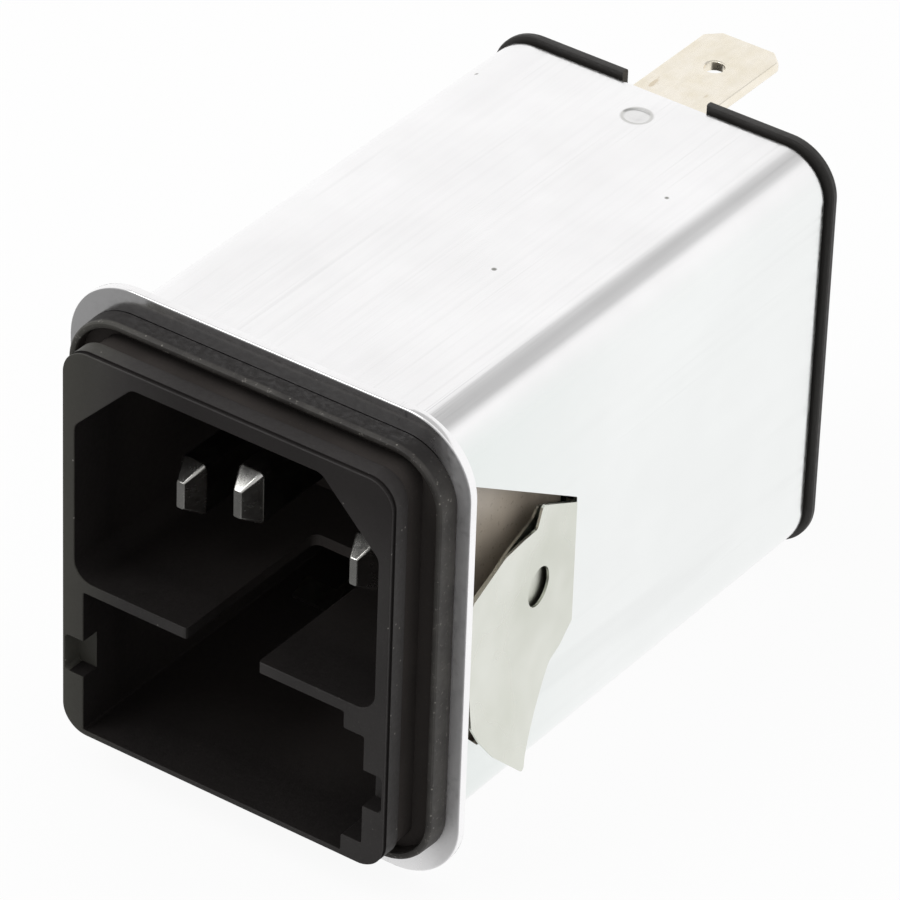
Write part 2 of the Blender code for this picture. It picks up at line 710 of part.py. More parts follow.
def circuit_board():
    laminate = make_look("green_laminate", (0.06, 0.2, 0.09), 0.45)
    outline = rounded_rectangle(
        BOARD_WIDTH, BOARD_END - BOARD_START, FIT, (0, (BOARD_START + BOARD_END) / 2), 2)
    board = prism("circuit_board", outline, BOARD_BOTTOM, BOARD_TOP, laminate, "Z")
    low, high = BOARD_BOTTOM - THROUGH, BOARD_TOP + THROUGH
    for index, place in enumerate(board_holes()):
        hole = circle(LEAD_RADIUS + FIT, place, 12)
        cut(board, prism(f"board_hole_{index}", hole, low, high, laminate, "Z"))
    for side in (-1, 1):
        for index, depth in enumerate(clip_tails()):
            slot = rounded_rectangle(
                CLIP_WIDTH + 2 * FIT, CLIP_THICKNESS + 2 * FIT, FIT / 2,
                (side * CLIP_SPACING / 2, depth), 1)
            cut(board, prism(f"board_slot_{side}_{index}", slot, low, high, laminate, "Z"))


def choke():
    ferrite = make_look("ferrite", (0.06, 0.06, 0.065), 0.5)
    level = BOARD_TOP + FIT + 2 * WIRE_RADIUS + FIT + CORE_HEIGHT / 2
    middle = (CORE_OUTER + CORE_INNER) / 2
    section = rounded_rectangle(
        CORE_OUTER - CORE_INNER, CORE_HEIGHT, CORE_ROUNDING, (middle, level), 3)
    loft("choke_core", [(circle(radius, (0, CHOKE_DEPTH), 32), z) for radius, z in section],
         ferrite, "Z", closed=True)
    enamel = make_look("enamelled_wire", (0.55, 0.22, 0.08), 0.3, 1)
    wide = (CORE_OUTER - CORE_INNER) / 2 + FIT + WIRE_RADIUS
    tall = CORE_HEIGHT / 2 + FIT + WIRE_RADIUS
    for start, hand in ((math.pi, "line"), (0, "neutral")):
        route = []
        count = WINDING_TURNS * 16
        for step in range(count + 1):
            turn = math.tau * step / 16
            around = start + WINDING_SWEEP * (step / count - 0.5)
            flat = [math.copysign(abs(value) ** 0.4, value)
                    for value in (math.cos(turn), math.sin(turn))]
            radius = middle + wide * flat[0]
            route.append((radius * math.cos(around),
                          CHOKE_DEPTH + radius * math.sin(around),
                          level + tall * flat[1]))
        wire(f"choke_winding_{hand}", route, WIRE_RADIUS, enamel, 1)


def wire(name, route, radius, look, smoothness=2):
    """A round wire along a route of points."""
    curve = bpy.data.curves.new(name, "CURVE")
    curve.dimensions = "3D"
    curve.bevel_depth = radius
    curve.bevel_resolution = smoothness
    curve.use_fill_caps = True
    spline = curve.splines.new("POLY")
    spline.points.add(len(route) - 1)
    for point, place in zip(spline.points, route):
        point.co = (*place, 1)
        point.radius = 1
    curve.materials.append(look)
    made = bpy.data.objects.new(name, curve)
    made.parent = bpy.data.objects["datum"]
    bpy.context.collection.objects.link(made)
    return made


def eased(start, start_way, end, end_way, steps=8):
    """Smooth route from start to end, leaving and arriving along the given ways."""
    start, end = Vector(start), Vector(end)
    first, last = start + Vector(start_way), end - Vector(end_way)
    route = []
    for step in range(steps + 1):
        t = step / steps
        u = 1 - t
        route.append(u ** 3 * start + 3 * u * u * t * first + 3 * u * t * t * last + t ** 3 * end)
    return route


def leads():
    """Insulated wires: from each live pin down to the board, and from the board to each rear tab."""
    colours = {"line": (0.22, 0.09, 0.04), "neutral": (0.05, 0.12, 0.4)}
    landing = BOARD_TOP + FIT + WIRE_LEAD_RADIUS / 2
    for side, hand in ((-1, "line"), (1, "neutral")):
        jacket = make_look(f"{hand}_insulation", colours[hand], 0.5)
        pin_x, pin_z = pin_places()[f"{hand}_pin"]
        tail = SOCKET_END + PIN_TAIL_LENGTH + FIT
        drop = (pin_z - landing) / 2
        wire(f"{hand}_lead_in", eased(
            (pin_x, tail, pin_z), (0, drop, 0),
            (pin_x, tail + drop, landing), (0, 0, -drop)), WIRE_LEAD_RADIUS, jacket)
        tab_x = side * LIVE_BLADE_SPACING / 2
        tab_front = LIVE_BLADE_START - FIT
        rise = (-LIVE_BLADE_DROP - landing) / 2
        wire(f"{hand}_lead_out", eased(
            (tab_x, tab_front, -LIVE_BLADE_DROP), (0, -rise, 0),
            (tab_x, tab_front - rise, landing), (0, 0, -rise)), WIRE_LEAD_RADIUS, jacket)


def stub(name, place, low, high, look):
    return prism(name, circle(LEAD_RADIUS, place, 10), low, high, look, "Z")


def capacitors():
    yellow = make_look("yellow_case", (0.75, 0.5, 0.06), 0.45)
    half = X_CAPACITOR_DEPTH / 2
    top = BOARD_BOTTOM - FIT
    case = rounded_rectangle(
        X_CAPACITOR_WIDTH, X_CAPACITOR_HEIGHT, FIT * 2, (0, top - X_CAPACITOR_HEIGHT / 2), 2)
    film = prism("x_capacitor", case, X_CAPACITOR_PLACE - half, X_CAPACITOR_PLACE + half, yellow)
    for side in (-1, 1):
        place = (side * X_LEAD_SPACING / 2, X_CAPACITOR_PLACE + x_lead_shift())
        join(film, stub(f"x_lead_{side}", place, top - THROUGH, BOARD_TOP + LEAD_STUB, yellow))
    blue = make_look("blue_coating", (0.05, 0.17, 0.45), 0.35)
    level = BOARD_TOP + FIT + Y_CAPACITOR_DIAMETER / 2
    for side, hand in ((-1, "line"), (1, "neutral")):
        x = side * Y_CAPACITOR_OFFSET
        thick = Y_CAPACITOR_THICKNESS / 2
        full = circle(Y_CAPACITOR_DIAMETER / 2, (Y_CAPACITOR_PLACE, level))
        edge = circle(Y_CAPACITOR_DIAMETER / 2 - thick / 2, (Y_CAPACITOR_PLACE, level))
        disc = loft(f"y_capacitor_{hand}", [
            (edge, x - thick), (full, x - thick / 2), (full, x + thick / 2), (edge, x + thick),
        ], blue, "X")
        for step in (-1, 1):
            place = (x, Y_CAPACITOR_PLACE + step * Y_LEAD_SPACING / 2)
            join(disc, stub(f"y_lead_{hand}_{step}", place, BOARD_BOTTOM, level, blue))


def bleed_resistor():
    body_look = make_look("resistor_body", (0.62, 0.45, 0.3), 0.5)
    radius = RESISTOR_DIAMETER / 2
    level = BOARD_TOP + FIT + radius
    waist = RESISTOR_LENGTH * 0.3
    centre = (RESISTOR_PLACE, level)
    resistor = loft("bleed_resistor", [
        (circle(radius * 0.7, centre, 16), -RESISTOR_LENGTH / 2),
        (circle(radius, centre, 16), -RESISTOR_LENGTH / 2 + radius / 3),
        (circle(radius, centre, 16), -waist),
        (circle(radius * 0.85, centre, 16), -waist + radius / 3),
        (circle(radius * 0.85, centre, 16), waist - radius / 3),
        (circle(radius, centre, 16), waist),
        (circle(radius, centre, 16), RESISTOR_LENGTH / 2 - radius / 3),
        (circle(radius * 0.7, centre, 16), RESISTOR_LENGTH / 2),
    ], body_look, "X")
    half = RESISTOR_LEAD_SPACING / 2
    legs = prism("resistor_legs", ribbon([
        (-half, BOARD_BOTTOM), (-half, level), (half, level), (half, BOARD_BOTTOM),
    ], 2 * LEAD_RADIUS), RESISTOR_PLACE - LEAD_RADIUS, RESISTOR_PLACE + LEAD_RADIUS, body_look)
    join(resistor, legs)


def ear_corners():
    """Named corners (y, z) of a snap ear's outline, in the order in which they follow each other."""
    front = WINDOW_FRONT + EAR_FRONT_CLEARANCE
    root_top = WINDOW_TOP - EAR_SIDE_CLEARANCE
    root_bottom = WINDOW_BOTTOM + EAR_SIDE_CLEARANCE
    slope = math.tan(WINDOW_RISE_ANGLE)
    peak = EAR_SHOULDER_DEPTH + EAR_PEAK_SETBACK
    return {
        "tongue_top": (HINGE_Y, root_top - FIT),
        "root_top": (WINDOW_REAR, root_top),
        "peak": (peak, root_top + (WINDOW_REAR - peak) * slope - 2 * FIT),
        "shoulder": (EAR_SHOULDER_DEPTH, root_top + EAR_SHOULDER_RISE),
        "brow": (EAR_SHOULDER_DEPTH - EAR_BROW_LENGTH, root_top + EAR_BROW_RISE),
        "front_top": (front, root_top + EAR_FRONT_RISE),
        "front_bottom": (front, root_bottom - EAR_FRONT_DROP),
        "low_tip": (front + EAR_TIP_SETBACK, root_bottom - EAR_TIP_DROP),
        "low_bend": (WINDOW_REAR - EAR_BEND_SETBACK, root_bottom - EAR_BEND_DROP),
        "root_bottom": (WINDOW_REAR, root_bottom),
        "tongue_bottom": (HINGE_Y, root_bottom + FIT),
    }


def ear_face(depth, height):
    """Distance of a snap ear's outer face from the middle plane: tongue, jog, then flared leaf."""
    jog_rear = WINDOW_REAR - EAR_TONGUE_SETBACK
    leaf = LEAF_FACE + max(0, WINDOW_REAR - depth) * math.tan(EAR_TILT)
    beyond = (math.sin(EAR_CURL_ANGLE) * (WINDOW_REAR - depth)
              + math.cos(EAR_CURL_ANGLE) * (EAR_CURL_HEIGHT - height))
    leaf += max(0, beyond) ** 2 / (2 * EAR_CURL_RADIUS)
    share = min(1, max(0, (jog_rear - depth) / EAR_JOG))
    return TONGUE_FACE + (leaf - TONGUE_FACE) * share


def snap_ears():
    spring = make_look("spring_steel", (0.72, 0.72, 0.68), 0.32, 1)
    plain = ("root_top", "root_bottom")
    radii = {"brow": EAR_BROW_RADIUS, "low_bend": EAR_BEND_RADIUS}
    outline = soften([(y, z, 0 if name in plain else radii.get(name, EAR_SMALL_RADIUS))
                      for name, (y, z) in ear_corners().items()], 3)
    hole = circle(EAR_HOLE / 2, (EAR_HOLE_DEPTH, EAR_HOLE_HEIGHT), 20)
    hole_floor = ear_face(EAR_HOLE_DEPTH, EAR_HOLE_HEIGHT) - EAR_LAYER
    for side, hand in ((1, "right"), (-1, "left")):
        mesh = bmesh.new()
        mesh.faces.new([mesh.verts.new((0, y, z)) for y, z in outline])
        depth = WINDOW_REAR - EAR_TONGUE_SETBACK
        bends = [depth]
        while depth > WINDOW_FRONT + EAR_STRIP:
            depth -= EAR_JOG if len(bends) == 1 else EAR_STRIP
            bends.append(depth)
        for depth in bends:
            bmesh.ops.bisect_plane(mesh, geom=mesh.verts[:] + mesh.edges[:] + mesh.faces[:],
                                   plane_co=(0, depth, 0), plane_no=(0, 1, 0))
        height = EAR_CURL_HEIGHT
        while height > CAN_CENTRE - CAN_HEIGHT / 2:
            bmesh.ops.bisect_plane(mesh, geom=mesh.verts[:] + mesh.edges[:] + mesh.faces[:],
                                   plane_co=(0, 0, height), plane_no=(0, 0, 1))
            height -= EAR_STRIP
        bmesh.ops.triangulate(mesh, faces=mesh.faces)
        outer = {vert: Vector((ear_face(vert.co.y, vert.co.z), vert.co.y, vert.co.z))
                 for vert in mesh.verts}
        thick = Vector((EAR_THICKNESS, 0, 0))
        back = {vert: mesh.verts.new(place - thick) for vert, place in outer.items()}
        for vert, place in outer.items():
            vert.co = place
        front_faces = mesh.faces[:]
        rims = [edge for edge in mesh.edges if edge.is_boundary]
        for edge in rims:
            first, second = edge.verts
            mesh.faces.new((first, second, back[second], back[first]))
        for face in front_faces:
            mesh.faces.new([back[vert] for vert in reversed(face.verts)])
        for vert in mesh.verts:
            vert.co.x = side * (vert.co.x - HINGE_X)
            vert.co.y -= HINGE_Y
        ear = new_object(f"snap_ear_{hand}", mesh, spring, (side * HINGE_X, HINGE_Y, 0))
        cut(ear, prism(f"ear_hole_{hand}", hole, side * hole_floor, side * CAN_WIDTH, spring, "X"))


def main():
    clear_scene()
    datum = bpy.data.objects.new("datum", None)
    datum.location = (0, -OVERALL_DEPTH / 2, FLANGE_HEIGHT / 2 - CAN_CENTRE)
    bpy.context.collection.objects.link(datum)
    front_housing()
    pins()
    shield_can()
    rear_cover()
    blades()
    earth_strap()
    fuse_clips()
    circuit_board()
    choke()
    capacitors()
    bleed_resistor()
    leads()
    snap_ears()


main()
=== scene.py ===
"""Looks of the power entry module: fine outer pieces, finishes, floor, light and camera.

Shapes are drawn in millimetres from the same datum as the part's source, on the front face at the
inlet's centre line: x to the right seen from the front, y into the module, z up.
"""

import json
import math

import bmesh
import bpy
from mathutils import Matrix, Vector


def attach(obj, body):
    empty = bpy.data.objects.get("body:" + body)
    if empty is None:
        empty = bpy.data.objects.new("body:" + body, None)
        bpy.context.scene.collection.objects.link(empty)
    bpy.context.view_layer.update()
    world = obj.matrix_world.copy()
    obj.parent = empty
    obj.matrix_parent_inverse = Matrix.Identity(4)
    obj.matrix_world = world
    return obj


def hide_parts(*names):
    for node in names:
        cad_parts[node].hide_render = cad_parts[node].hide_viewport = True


# Camera, in degrees and metres
CAMERA_AZIMUTH = 34.63
CAMERA_ELEVATION = 34.16
CAMERA_ROLL = 2.07
CAMERA_PLACE = (0.22331, -0.32779, 0.28396)
CAMERA_LENS = 283.58
SENSOR = 36

# Light and floor, in metres. A row of four has the factor at the start and end of a dim part's
# fade, then where the fade starts and ends
FLOOR_SIZE = 4.0
WHITE_SHARE = 0.93
LIGHT_PLACE, LIGHT_TARGET, LIGHT_SIZE, LIGHT_POWER = (-0.4, -0.5, 0.9), (0, 0, 0.02), 0.6, 3
FLOOR_BEHIND = (0, 1, -0.036, -0.022)
FLOOR_LEFT = (0.23, 0.03, -0.044, -0.032)
FLOOR_CLOSE = (0, 0.16, -0.058, -0.045)
SKY_HIGH = (0, 1, 0.62, 0.68)
SKY_REAR = (0, 0.45, 0.1, 0.4)
SKY_FRONT = (0.5, 0, -0.6, -0.1)
SKY_LEVEL = 0.97

# Place of the datum in the frame, and the size of a millimetre
DATUM = Vector((0, -29.6, 23.77))
MILLIMETRE = 0.001

# Fits, how far a cutter passes through, how far past a form's edge its faces are looked for,
# steps of a rounded corner, and the angle in degrees up to which an edge is shaded smooth
FIT = 0.3
THROUGH = 1.0
MARGIN = 0.1
STEPS = 20
SMOOTH_ANGLE = 32

# Front moulding
FACE_WIDTH, FACE_HEIGHT, FACE_RADIUS, FACE_CENTRE = 26.34, 30.3, 2.0, -5.6
SKIRT_END = 1.8
LINE_FRONT, LINE_REAR, LINE_DEPTH = 0.13, 0.42, 0.13
NECK_INSET, NECK_STEP = 0.45, 0.05
LIP_WIDTH, LIP_HEIGHT, LIP_RADIUS, LIP_THICKNESS = 29.94, 32.5, 4.1, 0.52
LIP_FRONT, GROOVE_FLOOR, LIP_REAR = 2.86, 3.9, 4.4
BODY_WIDTH, BODY_HEIGHT, BODY_RADIUS, BODY_END = 26.04, 30.6, 2.75, 30.0

# Appliance inlet
INLET_SIDE, INLET_TOP, INLET_CHAMFER = 12.2, 8.35, 4.65
INLET_FILLET, INLET_EDGE, INLET_DEPTH = 1.5, 1.0, 18.6
SOCKET_END = 20.5
PIN_THICKNESS, PIN_HEIGHT, PIN_EDGE = 2.0, 4.0, 0.33
PIN_TIP_THICKNESS, PIN_TIP_HEIGHT = 0.65, 2.15
PIN_TAIL_THICKNESS, PIN_TAIL_HEIGHT, PIN_TAIL = 1.0, 2.4, 3.5
PIN_PLACES = {"line_pin": (-7, -2, 4.57), "neutral_pin": (7, -2, 4.57), "earth_pin": (0, 2, 1.4)}
PIN_NOSE = 1.5

# Fuse drawer bay
BAY_SIDE, BAY_TOP, BAY_BOTTOM, BAY_DEPTH = 11.45, -9.2, -20.35, 28.5
KEY_WIDTH, KEY_HEIGHT = 1.65, 1.3
GAP_HALF, GAP_DEPTH, GAP_ROUND, GAP_NOSE = 2.92, 14.0, 0.6, 0.3
RECESS_REACH, RECESS_TOP, RECESS_BOTTOM, RECESS_DEPTH = 1.5, -13.15, -16.05, 1.5
RECESS_EDGE = 0.3
PARTITION_TOP = -8.35
CLIP_PLACE, CLIP_HALF, CLIP_SLOT_HALF = 5.6, 1.9, 0.5
CLIP_LEVELS = (-19.75, -12.85)

# Metal can
CAN_WALL = 0.45
CAN_CENTRE = -5.77
CAN_WIDTH, CAN_HEIGHT, CAN_RADIUS, CAN_END = 27.54, 32.1, 3.5, 48.5
FLANGE_WIDTH, FLANGE_HEIGHT, FLANGE_RADIUS = 32.1, 36.0, 5.2
FLANGE_FRONT, FLANGE_REAR = 4.45, 5.2
CAN_ROOT, CAN_BEND = 0.3, 0.45
WELD_X, WELD_Y, WELD_SQUASH = 0.43, 45.3, 0.82
WELD_DISH = [(0.6, -0.05), (0.85, -0.07), (1.0, -0.05), (1.09, -0.02), (1.14, 0.0), (1.17, 0.1)]
WINDOW_REAR, WINDOW_FRONT, WINDOW_TOP, WINDOW_BOTTOM = 20.0, 5.35, -1.6, -11.5
WINDOW_RISE = 0.6056
WINDOW_CLIMB = (WINDOW_REAR - WINDOW_FRONT) * WINDOW_RISE
WINDOW_OUTLINE = [
    (WINDOW_REAR, WINDOW_TOP, 0.2), (WINDOW_FRONT, WINDOW_TOP + WINDOW_CLIMB, 0.2),
    (WINDOW_FRONT, -12.75, 0.2), (6.1, -13.2, 0.5), (7.3, -14.2, 0.3), (8.2, -14.25, 0.3),
    (9.5, -15.6, 0.3), (13.6, -15.6, 0.4), (16.9, -13.1, 0.6), (WINDOW_REAR, WINDOW_BOTTOM, 0.2),
]

# Rear cover and blades
COVER_FRONT, COVER_REAR, COVER_OVERHANG = 48.8, 49.45, 0.48
COVER_SHORT = 0.34
SPIGOT_LENGTH, SPIGOT_WALL = 2.3, 1.2
BLADE_HALF, BLADE_THICKNESS, BLADE_CHAMFER, BLADE_HOLE = 3.15, 0.8, 1.0, 0.75
BLADE_SETBACK = 4.24
BLADE_TOP = 9.53
EARTH_BLADE = (0.3, 41.5, 59.2)
LIVE_BLADE = (-3.5, 45.0, 57.6)
LIVE_BLADE_PLACE = 6.0

# Snap ears
POCKET_FACE, TONGUE_FACE, LEAF_FACE, TONGUE_END = 12.02, 13.02, 13.9, 21.8
EAR_TILT = math.tan(math.radians(7))
EAR_CURL = math.radians(15)
EAR_CURL_HEIGHT, EAR_CURL_SPREAD = -11.5, 44.0
EAR_JOG_REAR, EAR_JOG = 19.96, 0.14
EAR_SHEET, EAR_SHEET_GAP, EAR_SHEET_ROOM = 0.18, 0.06, 0.26
EAR_GRID, EAR_GRID_TOP = 0.45, 1.0
EAR_HOLE = (14.8, -5.55, 1.42)
EAR_OUTLINE = [
    (TONGUE_END, -2.25, 0.4), (20.0, -1.95, 0), (17.28, -0.47, 2.5), (15.02, 0.74, 0.35),
    (14.3, -0.72, 0.3), (12.5, -0.52, 2), (9.98, -0.4, 2), (8.8, -0.7, 2), (5.66, -1.5, 0.4),
    (5.66, -11.2, 0.3), (6.42, -12.62, 3), (7.92, -14.61, 3), (9.78, -16.35, 3),
    (11.0, -17.5, 0.45), (11.72, -16.72, 0.6), (13.1, -15.6, 2), (15.1, -13.95, 2),
    (16.63, -12.6, 1.4), (18.18, -12.26, 1.4), (20.0, -11.18, 0), (TONGUE_END, -10.85, 0.4),
]
INNER_OUTLINE = [
    (TONGUE_END, -2.25, 0.4), (20.0, -1.95, 0), (17.21, -0.54, 2.5), (15.23, 0.36, 0.4),
    (14.5, -0.24, 0.5), (12.8, -0.56, 2), (10.5, -0.76, 2), (8.33, -1.09, 2), (5.8, -1.6, 0.5),
    (5.8, -9.6, 1.2), (8.6, -12.3, 3), (10.9, -14.2, 1), (13.0, -14.5, 2), (15.0, -13.5, 2),
    (16.6, -12.5, 1.4), (18.18, -12.16, 1.4), (20.0, -11.18, 0), (TONGUE_END, -10.85, 0.4),
]

# Colours of the dust and dark dots, the weld's tint, and the painted sheen, shade and reflection
# on the plastic and the metal
LEFT_SHEEN, UPPER_SHADE, FLANK_SHADE = (0.07, 0.069, 0.055), (0.014, 0.011, 0.0105), (0.009, 0.007, 0.0065)
FILM, FLUFF, LINT = (0.085, 0.08, 0.072), (0.2, 0.19, 0.17), (0.17, 0.16, 0.145)
SIDE_SHADE, SIDE_SHADE_FORE = (0.87, 0.905, 0.89), (0.76, 0.815, 0.79)
CORNER_DARK_REFLECTION, WELD_TINT_AND_SHADE, DARK_DOT = (0.5, 0.5, 0.51), (0.42, 0.42, 0.39), (0.3, 0.3, 0.28)


def soften(corners, steps=6):
    """Outline through corners (a, b, radius), each rounded by its own radius."""
    outline = []
    for index, (a, b, radius) in enumerate(corners):
        corner = Vector((a, b))
        before = Vector(corners[index - 1][:2]) - corner
        after = Vector(corners[(index + 1) % len(corners)][:2]) - corner
        half = before.angle(after) / 2
        room = 0.48 * min(before.length, after.length) * math.tan(half)
        radius = min(radius, room)
        if not radius:
            outline.append(corner)
            continue
        before, after = before.normalized(), after.normalized()
        centre = corner + (before + after).normalized() * radius / math.sin(half)
        first = corner + before * radius / math.tan(half) - centre
        last = corner + after * radius / math.tan(half) - centre
        start = math.atan2(first.y, first.x)
        turn = math.remainder(math.atan2(last.y, last.x) - start, math.tau)
        for step in range(steps + 1):
            angle = start + turn * step / steps
            outline.append(centre + radius * Vector((math.cos(angle), math.sin(angle))))
    return outline


def rounded_rectangle(width, height, radius, centre=(0, 0), steps=STEPS):
    """Outline of a rectangle with round corners, each in a number of steps."""
    right, top = width / 2, height / 2
    corners = [(right, -top), (right, top), (-right, top), (-right, -top)]
    return soften([(a + centre[0], b + centre[1], radius) for a, b in corners], steps)


def circle(radius, centre=(0, 0), steps=48, squash=1.0):
    """Outline of a circle, flattened by a share along its second axis."""
    angles = [math.tau * step / steps for step in range(steps)]
    return [Vector((centre[0] + radius * math.cos(a), centre[1] + squash * radius * math.sin(a)))
            for a in angles]


def grown(outline, by):
    """The outline moved outward by a distance, corners mitred."""
    points = [Vector(point) for point in outline]
    area = sum(a.x * b.y - b.x * a.y for a, b in zip(points, points[1:] + points[:1]))
    turn = math.copysign(1, area)
    moved = []
    for index, point in enumerate(points):
        before = (point - points[index - 1]).normalized()
        after = (points[(index + 1) % len(points)] - point).normalized()
        first = Vector((before.y, -before.x)) * turn
        second = Vector((after.y, -after.x)) * turn
        way = (first + second).normalized()
        moved.append(point + way * by / max(0.5, way.dot(first)))
    return moved


def on_axis(point, along, axis):
    """A point of an outline, carried along the axis that the outline stands across."""
    a, b = point
    return {"X": (along, a, b), "Y": (a, along, b), "Z": (a, b, along)}[axis]


def to_object(name, mesh):
    """An object in the scene, made of a finished mesh."""
    bmesh.ops.recalc_face_normals(mesh, faces=mesh.faces)
    data = bpy.data.meshes.new(name)
    mesh.to_mesh(data)
    mesh.free()
    made = bpy.data.objects.new(name, data)
    bpy.context.scene.collection.objects.link(made)
    return made


def loft(name, sections, axis="Y", closed=False):
    """Skin over sections (outline, distance). A closed one joins its last section to its first."""
    mesh = bmesh.new()
    rings = [[mesh.verts.new(on_axis(point, along, axis)) for point in outline]
             for outline, along in sections]
    joins = list(zip(rings, rings[1:]))
    if closed:
        joins.append((rings[-1], rings[0]))
    else:
        mesh.faces.new(rings[0])
        mesh.faces.new(rings[-1])
    for first, last in joins:
        for index in range(len(first)):
            mesh.faces.new((first[index - 1], first[index], last[index], last[index - 1]))
    return to_object(name, mesh)


def prism(name, outline, start, end, axis="Y"):
    return loft(name, [(outline, start), (outline, end)], axis)


def block(name, low, high):
    """A plain box between two corners, for cutting."""
    outline = [(low[0], low[2]), (high[0], low[2]), (high[0], high[2]), (low[0], high[2])]
    return prism(name, outline, low[1], high[1])


def settled(piece):
    """The piece's mesh with its modifiers worked in."""
    bpy.context.view_layer.update()
    graph = bpy.context.evaluated_depsgraph_get()
    data = bpy.data.meshes.new_from_object(piece.evaluated_get(graph))
    piece.modifiers.clear()
    piece.data = data


def carve(piece, cutters):
    """Cuts the piece by each cutter and takes the cutters away."""
    for cutter in cutters:
        modifier = piece.modifiers.new(cutter.name, "BOOLEAN")
        modifier.operation = "DIFFERENCE"
        modifier.object = cutter
    settled(piece)
    for cutter in cutters:
        bpy.data.objects.remove(cutter, do_unlink=True)


def place(piece, look, body, nodes, angle=SMOOTH_ANGLE):
    """Shades a finished piece, carries it into the frame, hangs it on its body and hides the nodes
    it stands for.
    """
    data = piece.data
    data.transform(Matrix.Scale(MILLIMETRE, 4) @ Matrix.Translation(DATUM))
    data.shade_smooth()
    data.set_sharp_from_angle(angle=math.radians(angle))
    weighted = piece.modifiers.new("weighted", "WEIGHTED_NORMAL")
    weighted.keep_sharp = True
    settled(piece)
    piece.data.name = piece.name
    piece.data.materials.clear()
    piece.data.materials.append(look)
    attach(piece, body)
    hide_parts(*nodes)


def inlet_outline():
    """Outline of the appliance inlet: a rectangle with its two upper corners cut off."""
    side, top, low = INLET_SIDE, INLET_TOP, INLET_CHAMFER
    return soften([
        (side, -top, INLET_FILLET), (side, top - low, INLET_EDGE), (side - low, top, INLET_EDGE),
        (low - side, top, INLET_EDGE), (-side, top - low, INLET_EDGE), (-side, -top, INLET_FILLET),
    ], 10)


def bay_outline():
    """Outline of the fuse drawer bay, stepped in at its upper and lower right corners."""
    side, key = BAY_SIDE, BAY_SIDE - KEY_WIDTH
    edge = 0.15
    return soften([
        (-side, BAY_TOP, edge), (-side, BAY_BOTTOM, edge), (key, BAY_BOTTOM, edge),
        (key, BAY_BOTTOM + KEY_HEIGHT, edge), (side, BAY_BOTTOM + KEY_HEIGHT, edge),
        (side, BAY_TOP - KEY_HEIGHT, edge), (key, BAY_TOP - KEY_HEIGHT, edge),
        (key, BAY_TOP, edge),
    ], 4)


def mouth_cutter(name, outline, depth):
    """A cutter whose mouth is broken by a fine lead-in."""
    lead = 0.09
    return loft(name, [
        (grown(outline, lead), -THROUGH), (grown(outline, lead), 0), (grown(outline, 0.03), 0.025),
        (outline, lead), (outline, depth),
    ])


def gap_cutter():
    """The gap in the partition, its rear corners and the two noses at its mouth rounded."""
    nose = [(GAP_HALF + GAP_NOSE * (1 - math.sin(math.radians(t))),
             GAP_NOSE * (1 - math.cos(math.radians(t)))) for t in range(0, 91, 15)]
    rear = soften([(GAP_HALF, 1, 0), (GAP_HALF, GAP_DEPTH, GAP_ROUND),
                   (-GAP_HALF, GAP_DEPTH, GAP_ROUND), (-GAP_HALF, 1, 0)], 8)
    wide = GAP_HALF + GAP_NOSE
    outline = ([(wide, -THROUGH)] + nose + [tuple(point) for point in rear[1:-1]]
               + [(-x, y) for x, y in reversed(nose)] + [(-wide, -THROUGH)])
    return prism("gap_cutter", outline, BAY_TOP - THROUGH, PARTITION_TOP + THROUGH, "Z")


def ear_pocket(side):
    """Cuts room for an ear: shallow beside its leaf, deep behind the step of its tongue."""
    outer = side * BODY_WIDTH
    shallow = side * (BODY_WIDTH / 2 - FIT)
    deep = side * POCKET_FACE
    rear = BODY_END + THROUGH
    step = WINDOW_REAR - EAR_JOG / 2 - FIT
    outline = [(shallow, FLANGE_REAR - FIT), (outer, FLANGE_REAR - FIT), (outer, rear),
               (deep, rear), (deep, step), (shallow, step)]
    low = CAN_CENTRE - CAN_HEIGHT / 2 + CAN_RADIUS - FIT
    high = WINDOW_TOP + WINDOW_CLIMB + FIT
    return prism(f"ear_pocket_{side}", outline, low, high, "Z")


def lip_ring(share):
    """Outline across the bezel's lip: 0 at its outer side, 1 at the groove inside it."""
    inset = share * LIP_THICKNESS
    return rounded_rectangle(LIP_WIDTH - 2 * inset, LIP_HEIGHT - 2 * inset,
                             LIP_RADIUS - inset, (0, CAN_CENTRE))


def inside_lip(spot):
    """Whether a place lies within the lip's inner side."""
    inner = LIP_RADIUS - LIP_THICKNESS + 0.02
    side = abs(spot.x) - LIP_WIDTH / 2 + LIP_RADIUS
    rise = abs(spot.z - CAN_CENTRE) - LIP_HEIGHT / 2 + LIP_RADIUS
    return math.hypot(max(0, side), max(0, rise)) < inner


def face_ring(inset):
    """Outline of the front face's block, drawn in by a distance."""
    return rounded_rectangle(FACE_WIDTH - 2 * inset, FACE_HEIGHT - 2 * inset,
                             FACE_RADIUS - inset, (0, FACE_CENTRE))


